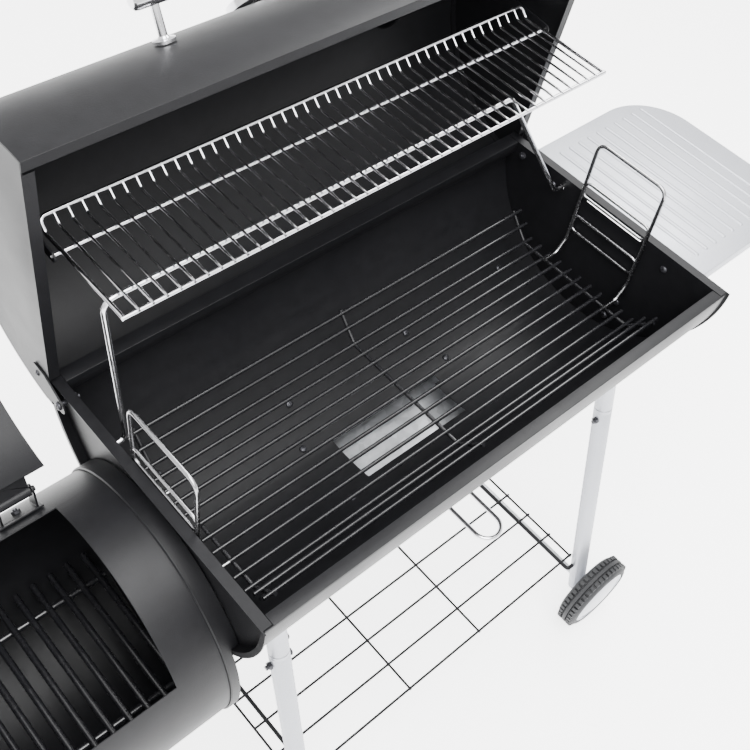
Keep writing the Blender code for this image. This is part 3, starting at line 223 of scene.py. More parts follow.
def tint(nodes, links, source, shader, colour, low, high, start=0.3, end=0.7):
    """Varies a shader's colour between two shades of it, by a grey value."""
    target = shader.inputs["Base Color"]
    spread(nodes, links, source, shade(colour, low), shade(colour, high), target, start, end)


def gloss(nodes, links, source, shader, low, high):
    """Varies a shader's roughness by a grey value."""
    spread(nodes, links, source, low, high, shader.inputs["Roughness"])


# ---- materials -----------------------------------------------------------------------------
def powder_coat(name, colour, roughness=0.42):
    """Satin powder coat: a fine orange peel, faint clouds in its gloss and a little dust."""
    material, nodes, links, shader = new_material(name, colour, roughness)
    shader.inputs["Specular IOR Level"].default_value = 0.18
    cloud = texture(nodes, links, "ShaderNodeTexNoise", 7.0, Detail=4.0, Roughness=0.6)
    gloss(nodes, links, cloud.outputs["Fac"], shader, roughness - 0.05, roughness + 0.07)
    dust = texture(nodes, links, "ShaderNodeTexNoise", 60.0, Detail=6.0, Roughness=0.75)
    tint(nodes, links, dust.outputs["Fac"], shader, colour, 0.85, 1.35)
    peel = texture(nodes, links, "ShaderNodeTexNoise", 700.0, Detail=2.0)
    bump(nodes, links, shader, peel.outputs["Fac"], 0.25, 0.0004)
    grain = texture(nodes, links, "ShaderNodeTexVoronoi", 1600.0)
    bump(nodes, links, shader, grain.outputs["Distance"], 0.12, 0.0003)
    return material


def dark_wire(name, colour):
    """Glossy dark enamel on wire."""
    material, nodes, links, shader = new_material(name, colour, 0.22)
    shader.inputs["Coat Weight"].default_value = 0.12
    shader.inputs["Coat Roughness"].default_value = 0.12
    cloud = texture(nodes, links, "ShaderNodeTexNoise", 90.0, Detail=4.0)
    gloss(nodes, links, cloud.outputs["Fac"], shader, 0.20, 0.32)
    runs = texture(nodes, links, "ShaderNodeTexNoise", 420.0, Detail=2.0)
    bump(nodes, links, shader, runs.outputs["Fac"], 0.06, 0.0003)
    tint(nodes, links, runs.outputs["Fac"], shader, colour, 0.8, 1.5)
    return material


def plating(name, colour, roughness=0.10):
    """Bright plated wire with faint drawing marks."""
    material, nodes, links, shader = new_material(name, colour, roughness, 1.0)
    marks = texture(nodes, links, "ShaderNodeTexNoise", 260.0, Detail=5.0)
    gloss(nodes, links, marks.outputs["Fac"], shader, roughness, roughness + 0.14)
    haze = texture(nodes, links, "ShaderNodeTexNoise", 40.0, Detail=3.0)
    tint(nodes, links, haze.outputs["Fac"], shader, colour, 0.85, 1.05)
    return material


def silver_paint(name, colour, roughness=0.36):
    """Silver paint with fine flakes."""
    material, nodes, links, shader = new_material(name, colour, roughness, 0.45)
    flakes = texture(nodes, links, "ShaderNodeTexVoronoi", 2600.0)
    tint(nodes, links, flakes.outputs["Color"], shader, colour, 0.88, 1.12, 0.2, 0.8)
    cloud = texture(nodes, links, "ShaderNodeTexNoise", 12.0, Detail=4.0)
    gloss(nodes, links, cloud.outputs["Fac"], shader, roughness - 0.05, roughness + 0.08)
    peel = texture(nodes, links, "ShaderNodeTexNoise", 800.0, Detail=2.0)
    bump(nodes, links, shader, peel.outputs["Fac"], 0.12, 0.0003)
    return material


def galvanised(name, colour):
    """Zinc sheet with its crystal spangle."""
    material, nodes, links, shader = new_material(name, colour, 0.34, 0.85)
    spangle = texture(nodes, links, "ShaderNodeTexVoronoi", 110.0)
    tint(nodes, links, spangle.outputs["Color"], shader, colour, 0.82, 1.12, 0.1, 0.9)
    haze = texture(nodes, links, "ShaderNodeTexNoise", 30.0, Detail=5.0)
    gloss(nodes, links, haze.outputs["Fac"], shader, 0.28, 0.46)
    return material


def rubber(name, colour, roughness=0.72):
    """Hard rubber or plastic, slightly mottled."""
    material, nodes, links, shader = new_material(name, colour, roughness)
    mottle = texture(nodes, links, "ShaderNodeTexNoise", 55.0, Detail=6.0, Roughness=0.7)
    tint(nodes, links, mottle.outputs["Fac"], shader, colour, 0.8, 1.3)
    gloss(nodes, links, mottle.outputs["Fac"], shader, roughness - 0.08, roughness + 0.10)
    grain = texture(nodes, links, "ShaderNodeTexNoise", 900.0, Detail=3.0)
    bump(nodes, links, shader, grain.outputs["Fac"], 0.3, 0.0004)
    return material


def bolt_steel(name, colour=(0.03, 0.03, 0.034)):
    """Blackened steel of small bolts."""
    material, nodes, links, shader = new_material(name, colour, 0.35, 0.7)
    wear = texture(nodes, links, "ShaderNodeTexNoise", 300.0, Detail=5.0)
    tint(nodes, links, wear.outputs["Fac"], shader, colour, 0.7, 2.2)
    gloss(nodes, links, wear.outputs["Fac"], shader, 0.28, 0.5)
    return material


MATERIALS = {}


def finish_named(name):
    """A finish by name, made the first time it is asked for."""
    if name not in MATERIALS:
        colours = bpy.context.scene.grill_colours
        makers = {
            "black_paint": lambda: powder_coat("black_paint", tuple(colours.paint)),
            "wire_black": lambda: dark_wire("wire_black", tuple(colours.wire)),
            "chrome_wire": lambda: plating("chrome_wire", tuple(colours.chrome)),
            "shelf_wire": lambda: powder_coat("shelf_wire", tuple(colours.wire), 0.5),
            # The lift handles' chrome is the same plating as chrome_wire made darker: painted shade standing
            # in for the dark barrel it reflects.
            "handle_chrome_painted_shade": lambda: plating("handle_chrome_painted_shade", shade(tuple(colours.chrome), 0.55), 0.16),
            "silver_paint": lambda: silver_paint("silver_paint", tuple(colours.silver)),
            "zinc": lambda: galvanised("zinc", tuple(colours.zinc)),
            "tyre": lambda: rubber("tyre", tuple(colours.tyre)),
            "hub": lambda: silver_paint("hub", shade(tuple(colours.silver), 1.1), 0.30),
            "foot": lambda: rubber("foot", (0.009, 0.009, 0.010), 0.5),
            "bolt_steel": lambda: bolt_steel("bolt_steel"),
            "dial": lambda: powder_coat("dial", (0.50, 0.50, 0.48), 0.30),
        }
        MATERIALS[name] = makers[name]()
    return MATERIALS[name]


# ---- mesh helpers, all counted from the middle of the rim ------------------------------------
def evaluated(item):
    """The mesh of an object with its modifiers applied, the object then removed."""
    depsgraph = bpy.context.evaluated_depsgraph_get()
    mesh = bpy.data.meshes.new_from_object(item.evaluated_get(depsgraph))
    bpy.data.objects.remove(item, do_unlink=True)
    return mesh


def helper(data):
    """A short-lived object that carries a mesh or curve."""
    item = bpy.data.objects.new("helper", data)
    bpy.context.scene.collection.objects.link(item)
    return item


def tidy(mesh):
    """Merge doubles and turn the faces outwards."""
    shape = bmesh.new()
    shape.from_mesh(mesh)
    bmesh.ops.remove_doubles(shape, verts=shape.verts, dist=1e-6)
    bmesh.ops.recalc_face_normals(shape, faces=shape.faces)
    shape.to_mesh(mesh)
    shape.free()
    return mesh


def combined(first, others, operation):
    """A Boolean of the first mesh with each of the others, applied."""
    body = helper(first)
    tools = [helper(mesh) for mesh in others]
    for tool in tools:
        modifier = body.modifiers.new("join", "BOOLEAN")
        modifier.operation = operation
        modifier.object = tool
    result = evaluated(body)
    for tool in tools:
        bpy.data.objects.remove(tool, do_unlink=True)
    return tidy(result)


def union(first, *others):
    """The first mesh with the others added to it."""
    return combined(first, others, "UNION")


def cut(first, *cutters):
    """The first mesh with the others taken out of it."""
    return combined(first, cutters, "DIFFERENCE")


def joined(*meshes):
    """Several meshes as one, side by side."""
    shape = bmesh.new()
    for mesh in meshes:
        shape.from_mesh(mesh)
    result = bpy.data.meshes.new("joined")
    shape.to_mesh(result)
    shape.free()
    return result


def prism(outline, low, high, axis="X"):
    """A flat outline made solid along X, where it holds (y, z), or along Z, where it holds (x, y)."""
    shape = bmesh.new()
    if axis == "X":
        corners = [shape.verts.new((low, a, b)) for a, b in outline]
        step = Vector((high - low, 0, 0))
    else:
        corners = [shape.verts.new((a, b, low)) for a, b in outline]
        step = Vector((0, 0, high - low))
    base = shape.faces.new(corners)
    grown = bmesh.ops.extrude_face_region(shape, geom=[base], use_keep_orig=True)
    moved = [item for item in grown["geom"] if isinstance(item, bmesh.types.BMVert)]
    bmesh.ops.translate(shape, verts=moved, vec=step)
    bmesh.ops.recalc_face_normals(shape, faces=shape.faces)
    mesh = bpy.data.meshes.new("prism")
    shape.to_mesh(mesh)
    shape.free()
    return mesh


def block(low, high):
    """A box from its lowest to its highest corner."""
    low, high = Vector(low), Vector(high)
    shape = bmesh.new()
    place = Matrix.Translation((low + high) / 2) @ Matrix.Diagonal((*(high - low), 1))
    bmesh.ops.create_cube(shape, size=1.0, matrix=place)
    mesh = bpy.data.meshes.new("block")
    shape.to_mesh(mesh)
    shape.free()
    return mesh


def along(start, end):
    """The matrix that lays +Z along the line from start to end."""
    start, end = Vector(start), Vector(end)
    return Matrix.Translation(start) @ (end - start).to_track_quat("Z", "Y").to_matrix().to_4x4()


def rod(start, end, radius, steps=24):
    """A round bar."""
    length = (Vector(end) - Vector(start)).length
    shape = bmesh.new()
    bmesh.ops.create_cone(
        shape, cap_ends=True, segments=steps, radius1=radius, radius2=radius, depth=length,
        matrix=along(start, end) @ Matrix.Translation((0, 0, length / 2)))
    mesh = bpy.data.meshes.new("rod")
    shape.to_mesh(mesh)
    shape.free()
    return mesh


def turned(profile, start, end, steps=64, closed=False, sweep=360.0):
    """(radius, height) points turned with a Screw about the line from start towards end."""
    mesh = bpy.data.meshes.new("profile")
    edges = [(i, i + 1) for i in range(len(profile) - 1)]
    if closed:
        edges.append((len(profile) - 1, 0))
    mesh.from_pydata([(r, 0, h) for r, h in profile], edges, [])
    item = helper(mesh)
    screw = item.modifiers.new("turn", "SCREW")
    screw.angle = math.radians(sweep)
    screw.steps = steps
    screw.render_steps = steps
    screw.use_merge_vertices = True
    screw.merge_threshold = 1e-6
    result = evaluated(item)
    result.transform(along(start, end))
    return tidy(result)


def wire_curve(name, paths, radius, resolution=3, closed=False, factors=None):
    """Poly splines along lists of points, thickened by the curve's own bevel."""
    curve = bpy.data.curves.new(name, "CURVE")
    curve.dimensions = "3D"
    curve.bevel_depth = radius
    curve.bevel_resolution = resolution
    curve.use_fill_caps = True
    for index, points in enumerate(paths):
        spline = curve.splines.new("POLY")
        spline.points.add(len(points) - 1)
        spline.use_cyclic_u = closed if isinstance(closed, bool) else closed[index]
        spline.use_smooth = True
        for target, point in zip(spline.points, points):
            target.co = (*point, 1)
            target.radius = factors[index] if factors else 1.0
    return curve


def arc(radius, first, last, steps, centre=(0.0, 0.0)):
    """(y, z) points round a circle, in degrees from +Y towards +Z."""
    angles = [math.radians(first + (last - first) * i / steps) for i in range(steps + 1)]
    return [(centre[0] + radius * math.cos(a), centre[1] + radius * math.sin(a)) for a in angles]


def bent(points, radius, steps=6):
    """A path with its inner corners rounded to a radius."""
    points = [Vector(p) for p in points]
    path = [points[0]]
    for before, corner, after in zip(points, points[1:], points[2:]):
        a, b = (before - corner), (after - corner)
        half = a.angle(b) / 2
        reach = min(radius / math.tan(half), a.length * 0.49, b.length * 0.49)
        first, last = corner + a.normalized() * reach, corner + b.normalized() * reach
        for i in range(steps + 1):
            t = i / steps
            path.append(first * (1 - t) ** 2 + corner * 2 * t * (1 - t) + last * t ** 2)
    path.append(points[-1])
    return path


def strip(profile, xs, skip=None):
    """An open sheet over a (y, z) profile and a list of x, without the cells that skip names."""
    shape = bmesh.new()
    rows = [[shape.verts.new((x, y, z)) for x in xs] for y, z in profile]
    for i in range(len(profile) - 1):
        for j in range(len(xs) - 1):
            if skip and skip(i, (xs[j] + xs[j + 1]) / 2):
                continue
            shape.faces.new((rows[i][j], rows[i + 1][j], rows[i + 1][j + 1], rows[i][j + 1]))
    loose = [v for v in shape.verts if not v.link_faces]
    bmesh.ops.delete(shape, geom=loose, context="VERTS")
    mesh = bpy.data.meshes.new("strip")
    shape.to_mesh(mesh)
    shape.free()
    return mesh


def copies(mesh, places):
    """One mesh that holds a copy of another at each matrix."""
    shape = bmesh.new()
    for place in places:
        mesh_copy = mesh.copy()
        mesh_copy.transform(place)
        shape.from_mesh(mesh_copy)
        bpy.data.meshes.remove(mesh_copy)
    result = bpy.data.meshes.new("copies")
    shape.to_mesh(result)
    shape.free()
    return result


# ---- piece helpers ------------------------------------------------------------------------
AT_REST = Matrix.Translation(MIDDLE)


def about_hinge(hinge, angle):
    """Takes a piece drawn shut to where it stands open."""
    turn = Matrix.Rotation(-angle, 4, "X")
    centre = Matrix.Translation((0, hinge.y, hinge.z))
    return AT_REST @ centre @ turn @ centre.inverted()


LID_PLACE = about_hinge(HINGE, LID_OPEN)
FIREBOX_LID_PLACE = about_hinge(FIREBOX_HINGE, FIREBOX_LID_OPEN)


def piece(name, data, finish, body, stands_for=(), place=AT_REST, angle=35.0):
    """A finished piece: placed, given its finish, smoothed and hung on its body."""
    data.name = name
    data.transform(place)
    data.materials.clear()
    data.materials.append(finish_named(finish))
    item = bpy.data.objects.new(name, data)
    bpy.context.scene.collection.objects.link(item)
    if isinstance(data, bpy.types.Mesh):
        data.shade_smooth()
        data.set_sharp_from_angle(angle=math.radians(angle))
    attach(item, body)
    if stands_for:
        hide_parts(*([stands_for] if isinstance(stands_for, str) else stands_for))
    return item


def thicken(item, thickness, offset=-1.0):
    """Gives an open sheet its thickness."""
    solid = item.modifiers.new("sheet", "SOLIDIFY")
    solid.thickness = thickness
    solid.offset = offset
    solid.use_even_offset = True
    return item


def soften(item, width, segments=2, angle=50.0):
    """Rounds the hard edges."""
    bevel = item.modifiers.new("edges", "BEVEL")
    bevel.width = width
    bevel.segments = segments
    bevel.limit_method = "ANGLE"
    bevel.angle_limit = math.radians(angle)
    bevel.harden_normals = False
    return item


def sizes():
    """The sizes that a user can change."""
    return bpy.context.scene.grill_sizes


# ---- bolts ---------------------------------------------------------------------------------
def cross_head(radius):
    """A pan-head screw with a cross recess, its face towards +Z."""
    height = radius * 0.55
    profile = [
        (0, height), (radius * 0.45, height * 0.98), (radius * 0.8, height * 0.78),
        (radius * 0.97, height * 0.4), (radius, 0.0), (0, 0.0)]
    head = turned(profile, (0, 0, 0), (0, 0, 1), 20)
    arm, width, deep = radius * 0.62, radius * 0.13, height * 0.45
    bars = [
        block((-arm, -width, deep), (arm, width, height * 2)),
        block((-width, -arm, deep), (width, arm, height * 2))]
    return cut(head, *bars)


def hexagon_nut(radius, height):
    """A hexagonal nut with the end of its bolt, its face towards +Z."""
    start, face, stem = (0, 0, 0), (0, 0, 1), radius * 0.5
    flats = [(0, height), (radius * 0.85, height), (radius, height * 0.85), (radius, 0.0), (0, 0)]
    tip = [(0, height * 1.5), (radius * 0.45, height * 1.5), (stem, height * 1.4), (stem, 0), (0, 0)]
    return joined(turned(flats, start, face, 6), turned(tip, start, face, 16))


def facing(point, direction):
    """A matrix that sets +Z along a direction at a point."""
    return along(point, Vector(point) + Vector(direction))


def round_barrel(x, angle, inside):
    """A place on the barrel's wall, by its angle from the bottom, facing in or out."""
    turn = math.radians(angle - 90)
    radial = Vector((0, math.cos(turn), math.sin(turn)))
    radius = RADIUS - SHEET if inside else RADIUS
    return facing(Vector((x, 0, 0)) + radial * radius, -radial if inside else radial)


# ---- barrel -------------------------------------------------------------------------------
ASH_X = (-0.078, 0.086)
ASH_Y = (-0.040, 0.026)
NOTCH_X, NOTCH_Y = 0.0945, 0.0165    # the far and near edges of the small notch beside the ash opening
FLANGE_END = 0.3395
END_FLANGE_RADIUS = 0.1781
END_BEAD_RADIUS = 0.183
SLOT_Y, SLOT_Z, SLOT_CORNER = (-0.055, 0.037), (-0.011, -0.005), 0.0028


def opening_angle(y):
    """The angle of the barrel's wall, in degrees, where it is y from the middle."""
    return 270 + math.degrees(math.asin(y / RADIUS))


def build_trough():
    """The trough's sheet, with folded rims and the ash opening."""
    stops = [180, opening_angle(ASH_Y[0]), opening_angle(NOTCH_Y), opening_angle(ASH_Y[1]), 360]
    steps = [44, 8, 2, 44]
    wall = []
    for first, last, count in zip(stops, stops[1:], steps):
        wall += arc(RADIUS, first, last, count)[:-1]
    wall.append((RADIUS, 0.0))
    front = [(-RADIUS + 0.014, -0.0004)]
    rear = [(RADIUS - 0.018, 0.0), (RADIUS - 0.018, -0.016)]
    profile = front + wall + rear
    first_open = len(front) + steps[0]
    last_open = first_open + steps[1] + steps[2]
    first_notch = first_open + steps[1]

    def left_out(i, x):
        if i < len(front) or i >= len(front) + len(wall) - 1:
            return abs(x) > FLANGE_END
        inside = first_open <= i < last_open and ASH_X[0] < x < ASH_X[1]
        notch = first_notch <= i < last_open and ASH_X[1] < x < NOTCH_X
        return inside or notch

    xs = [-HALF_LENGTH, -FLANGE_END, ASH_X[0], ASH_X[1], NOTCH_X, FLANGE_END, HALF_LENGTH]
    item = piece("trough_sheet", strip(profile, xs, left_out), "black_paint", "grill", "trough")
    soften(thicken(item, sizes().sheet), sizes().edge)


def half_disc(radius, top):
    """The outline of the lower half of a disc, closed at a height."""
    points = arc(radius, 180, 360, ARC_STEPS)
    return [(-radius, top), *points[1:-1], (radius, top)]


def build_end_wall(word, side):
    """A dished end wall with its bead, slot and holes."""
    sheet = sizes().sheet

    def between(first, last):
        return sorted((side * first, side * last))

    body = union(
        prism(half_disc(END_FLANGE_RADIUS, 0.0), *between(WALL_X, BEAD_X[1])),
        prism(half_disc(END_BEAD_RADIUS, 0.0), *between(*BEAD_X)))
    dish = prism(half_disc(END_FLANGE_RADIUS - sheet, -sheet), *between(WALL_X + sheet, BEAD_X[1] + 0.01))
    slot = prism(bent_outline(*SLOT_Y, *SLOT_Z, SLOT_CORNER), *between(WALL_X - 0.005, WALL_X + 0.006))
    holes = [through(side, place.y, place.z, BOLT_HOLE) for place in (RACK_FOOT, HINGE)]
    if side < 0:
        (y0, y1), (z0, z1) = SMOKE_WAY
        holes.append(block((-WALL_X - 0.006, y0 - GAP, z0 - GAP), (-WALL_X + 0.005, y1 + GAP, z1 + GAP)))
    mesh = cut(body, dish, slot, *holes)
    soften(piece(f"end_wall_{word}_panel", mesh, "black_paint", "grill", f"end_wall_{word}"), sizes().edge)


def through(side, y, z, radius):
    """A bar that drills a hole through an end wall."""
    return rod((side * (WALL_X - 0.005), y, z), (side * (WALL_X + 0.006), y, z), radius, 20)


def bent_outline(y0, y1, z0, z1, radius):
    """A slot's outline with round ends."""
    corners = [((y1 - radius, z1 - radius), 0), ((y0 + radius, z1 - radius), 90),
               ((y0 + radius, z0 + radius), 180), ((y1 - radius, z0 + radius), 270)]
    points = []
    for centre, start in corners:
        points += arc(radius, start, start + 90, 5, centre)
    return points


# ---- lid -----------------------------------------------------------------------------------
CHIMNEY_X = 0.235
CHIMNEY_RADIUS = 0.036
CHIMNEY_TOP = LID_EDGE + LID_RADIUS + 0.220
CHIMNEY_PIN_Y = -0.043
HINGE_PLATE_X = (0.3554, 0.3574)
HANGER_X = (0.3300, 0.3320)
HANGER_LENGTH = 0.130
HANGER_HALF_WIDTH = 0.006


def build_lid_sheet():
    """The lid's sheet with its front hem, and the flue's hole."""
    profile = arc(LID_RADIUS, LID_REAR_ANGLE, 180, 110, (0, LID_EDGE)) + [(-LID_RADIUS + 0.012, LID_EDGE)]
    item = helper(strip(profile, [-LID_HALF, 0, LID_HALF]))
    thicken(item, sizes().sheet)
    flue = rod((CHIMNEY_X, 0, 0.1), (CHIMNEY_X, 0, 0.3), CHIMNEY_RADIUS - SHEET, 48)
    mesh = cut(evaluated(item), flue)
    soften(piece("lid_shell", mesh, "black_paint", "lid", "lid_sheet", LID_PLACE), sizes().edge)


def build_lid_end(word, side):
    """An end of the lid with the lip folded along its bottom."""
    sheet = sizes().sheet
    radius = LID_RADIUS - sheet - GAP
    low = LID_EDGE + sheet + GAP
    outline = [(y, z) for y, z in arc(radius, 1, 179, ARC_STEPS, (0, LID_EDGE)) if z > low]
    outline = [(outline[0][0], low)] + outline + [(outline[-1][0], low)]
    x = sorted((side * LID_HALF, side * (LID_HALF - sheet)))
    panel = prism(outline, *x)
    lip_x = sorted((side * LID_HALF, side * (LID_HALF - 0.012)))
    lip = block((lip_x[0], -radius + 0.015, low), (lip_x[1], 0.130, low + sheet))
    rim_x = sorted((side * (LID_HALF - sheet), side * (LID_HALF - 0.009)))
    hollow = arc(radius - sheet, -10, 190, ARC_STEPS, (0, LID_EDGE))
    rim = cut(prism(outline, *rim_x), prism(hollow, rim_x[0] - 0.01, rim_x[1] + 0.01))
    mesh = union(panel, lip, rim)
    name = f"lid_end_{word}"
    soften(piece(name + "_panel", mesh, "black_paint", "lid", name, LID_PLACE), sizes().edge)


def build_hinge_plate(word, side):
    """The plate between the lid's end and its hinge bolt."""
    x = sorted(side * edge for edge in HINGE_PLATE_X)
    y, z, r = HINGE.y, HINGE.z, 0.010
    outline = arc(r, -180, 0, 20, (y, z)) + [
        (y + r, 0.031), (y + r - 0.003, 0.034), (y - 0.021, 0.034), (y - 0.024, 0.031), (y - 0.024, 0.014)]
    plate = cut(prism(outline, *x), rod((x[0] - 0.01, y, z), (x[1] + 0.01, y, z), BOLT_HOLE, 24))
    name = f"lid_hinge_plate_{word}"
    soften(piece(name + "_steel", plate, "black_paint", "lid", name, LID_PLACE), 0.0004)
    face = side * HINGE_PLATE_X[1]
    heads = copies(cross_head(0.0035), [facing((face, y - 0.012, 0.026), (side, 0, 0))])
    piece(f"lid_hinge_screws_{word}", heads, "bolt_steel", "lid", place=LID_PLACE)


def build_rack_hanger(word, side):
    """The strap that carries the rack's pivot, bolted to the lid's end."""
    closed = Matrix.Rotation(LID_OPEN, 4, "X") @ (RACK_PIVOT - HINGE) + HINGE
    y, z, half = closed.y, closed.z, HANGER_HALF_WIDTH
    top = z + HANGER_LENGTH
    x = sorted(side * edge for edge in HANGER_X)
    strap = prism(arc(half, -180, 0, 16, (y, z)) + [(y + half, top), (y - half, top)], *x)
    end = LID_HALF - SHEET - GAP
    tab_x = sorted((side * HANGER_X[0], side * end))
    tab = block((tab_x[0], y - half, top - 0.002), (tab_x[1], y + half, top))
    turn_x = sorted((side * end, side * (end - 0.002)))
    turn = block((turn_x[0], y - half, top - 0.002), (turn_x[1], y + half, top + 0.018))
    hole = rod((x[0] - 0.01, y, z), (x[1] + 0.01, y, z), 0.0027, 20)
    mesh = cut(union(strap, tab, turn), hole)
    name = f"rack_hanger_{word}"
    soften(piece(name + "_strap", mesh, "black_paint", "lid", name, LID_PLACE), 0.0004)
    spot = facing((side * (end - 0.002), y, top + 0.010), (-side, 0, 0))
    head = copies(cross_head(0.004), [spot])
    piece(f"rack_hanger_screw_{word}", head, "bolt_steel", "lid", place=LID_PLACE)


def lid_point(angle, out=0.0):
    """A point on the closed lid, by its angle from the rear, and the direction out of the sheet there."""
    turn = math.radians(angle)
    radial = Vector((0, math.cos(turn), math.sin(turn)))
    return Vector((0, 0, LID_EDGE)) + radial * (LID_RADIUS + out), radial


def groove(height, outer, inner, half, half_floor):
    """The (radius, height) points of a turned groove, from its top to its bottom."""
    return [(outer, height + half), (inner, height + half_floor), (inner, height - half_floor),
            (outer, height - half)]


def build_lid_handle():
    """A bright bar with turned grips on two posts, across the lid's front."""
    middle, radial = lid_point(150.0, GAP * 2)
    reach, half = 0.042, 0.182
    bar = middle + radial * reach
    start, end = bar - Vector((half, 0, 0)), bar + Vector((half, 0, 0))
    profile = [(0, half * 2), (0.006, half * 2), (0.0085, half * 2 - 0.002), (0.009, half * 2 - 0.006)]
    grooves = 24
    for i in range(grooves):
        height = half * 2 - 0.05 - i * (half * 2 - 0.1) / (grooves - 1)
        profile += groove(height, 0.009, 0.0082, 0.003, 0.0015)
    profile += [(0.009, 0.006), (0.0085, 0.002), (0.006, 0), (0, 0)]
    parts = [turned(profile, start, end, 32)]
    post = [
        (0, reach), (0.0045, reach), (0.0045, 0.006), (0.0060, 0.004), (0.011, 0.003), (0.011, 0.0), (0, 0)]
    for side in (-1, 1):
        at = middle + Vector((side * 0.160, 0, 0))
        parts.append(turned(post, at, at + radial, 32))
    piece("lid_handle_bar", joined(*parts), "chrome_wire", "lid", "lid_handle", LID_PLACE)


def build_thermometer():
    """A dial in a steel rim, with a needle and plain marks."""
    start, radial = lid_point(122.0, GAP * 3)
    profile = [
        (0, 0.0085), (0.0285, 0.0085), (0.0290, 0.0115), (0.0305, 0.0120), (0.0325, 0.0110), (0.0330, 0.0030),
        (0.0300, 0.0), (0, 0.0)]
    rim = turned(profile, start, start + radial, 64)
    piece("thermometer_rim", rim, "chrome_wire", "lid", "thermometer", LID_PLACE)
    dial_place = LID_PLACE @ along(start, start + radial)
    face = rod((0, 0, 0.0086), (0, 0, 0.0090), 0.0280, 64)
    piece("thermometer_face", face, "dial", "lid", place=dial_place)
    marks = []
    for i in range(21):
        turn = Matrix.Rotation(math.radians(-135 + 270 * i / 20), 4, "Z")
        length = 0.0045 if i % 5 == 0 else 0.0025
        mark = block((-0.0004, 0.0255 - length, 0.0090), (0.0004, 0.0255, 0.0093))
        mark.transform(turn)
        marks.append(mark)
    pointer = [(-0.0009, -0.006), (0.0009, -0.006), (0.0003, 0.020), (-0.0003, 0.020)]
    needle = prism(pointer, 0.0093, 0.0098, axis="Z")
    needle.transform(Matrix.Rotation(math.radians(120), 4, "Z"))
    hub = rod((0, 0, 0.009), (0, 0, 0.0105), 0.0022, 20)
    piece("thermometer_marks", joined(*marks, needle, hub), "bolt_steel", "lid", place=dial_place)


def build_chimney():
    """The pipe, its foot flange with screws, and the cap on its pin."""
    foot = LID_EDGE + LID_RADIUS
    pin = CHIMNEY_PIN_Y
    pipe = rod((CHIMNEY_X, 0, foot - 0.012), (CHIMNEY_X, 0, CHIMNEY_TOP), CHIMNEY_RADIUS, 72)
    flange = rod((CHIMNEY_X, 0, foot - 0.014), (CHIMNEY_X, 0, foot + 0.002), CHIMNEY_RADIUS + 0.016, 72)
    lug = rod((CHIMNEY_X, pin, CHIMNEY_TOP - 0.018), (CHIMNEY_X, pin, CHIMNEY_TOP), 0.008, 32)
    shell = rod((-0.4, 0, LID_EDGE), (0.4, 0, LID_EDGE), LID_RADIUS + 2 * GAP, 2 * ARC_STEPS)
    hole = rod((CHIMNEY_X, pin, CHIMNEY_TOP - 0.05), (CHIMNEY_X, pin, 1), 0.0029, 20)
    bore = rod((CHIMNEY_X, 0, 0), (CHIMNEY_X, 0, 1), CHIMNEY_RADIUS - SHEET, 72)
    mesh = cut(union(pipe, flange, lug), shell, hole, bore)
    soften(piece("chimney_pipe", mesh, "black_paint", "lid", "chimney", LID_PLACE), 0.0005)
    spots = []
    reach = CHIMNEY_RADIUS + 0.008
    for angle in (45, 135, 225, 315):
        turn = math.radians(angle)
        x, y = CHIMNEY_X + reach * math.cos(turn), reach * math.sin(turn)
        spots.append(facing((x, y, foot + 0.002), (0, 0, 1)))
    piece("chimney_screws", copies(cross_head(0.0045), spots), "bolt_steel", "lid", place=LID_PLACE)
    build_chimney_cap()


def build_chimney_cap():
    """The cap's disc with its two arms, turning on a pin at the pipe's side."""
    pin, low, high = CHIMNEY_PIN_Y, CHIMNEY_TOP + GAP, CHIMNEY_TOP + GAP + 0.002

    def disc(y, radius, first, last, steps=72):
        return rod((CHIMNEY_X, y, first), (CHIMNEY_X, y, last), radius, steps)

    cap = union(
        disc(0, 0.039, low, high), block((CHIMNEY_X - 0.007, pin, low), (CHIMNEY_X + 0.007, 0, high)),
        block((CHIMNEY_X - 0.008, 0, low), (CHIMNEY_X + 0.008, 0.053, high)), disc(pin, 0.009, low, high, 32),
        disc(pin, 0.0025, CHIMNEY_TOP - 0.0214, high + 0.002, 20),
        disc(pin, 0.005, CHIMNEY_TOP - 0.0214, CHIMNEY_TOP - 0.0184, 6))
    soften(piece("chimney_cap_plate", cap, "black_paint", "chimney_cap", "chimney_cap", LID_PLACE), 0.0004)


# ---- grate, handles and warming rack ------------------------------------------------------
GRATE_FLOOR = -0.105
GRATE_Y = -0.005
GRATE_PITCH = 0.0182


def build_grate():
    """Long wires over three bent cross wires."""
    side = ((0.1055, -0.089), (0.120, -0.076))
    lines = [(GRATE_Y - y, z) for y, z in reversed(side)]
    lines += [(GRATE_Y + (i - 5) * GRATE_PITCH, GRATE_FLOOR) for i in range(11)]
    lines += [(GRATE_Y + y, z) for y, z in side]
    paths = [[(-0.306, y, z), (0.320, y, z)] for y, z in lines]
    drop = sizes().grate_wire * 1.7
    under = [(lines[0][0] - 0.004, lines[0][1] + 0.002), (lines[1][0] - 0.003, lines[1][1] - 0.0028),
             (lines[2][0] - 0.001, GRATE_FLOOR - drop), (lines[-3][0] + 0.001, GRATE_FLOOR - drop),
             (lines[-2][0] + 0.003, lines[-2][1] - 0.0028), (lines[-1][0] + 0.004, lines[-1][1] + 0.002)]
    for x in (-0.294, 0.001, 0.309):
        paths.append(bent([(x, y, z) for y, z in under], 0.012, 5))
    curve = wire_curve("grate", paths, sizes().grate_wire, 3)
    piece("charcoal_grate_wires", curve, "wire_black", "charcoal_grate", "charcoal_grate")


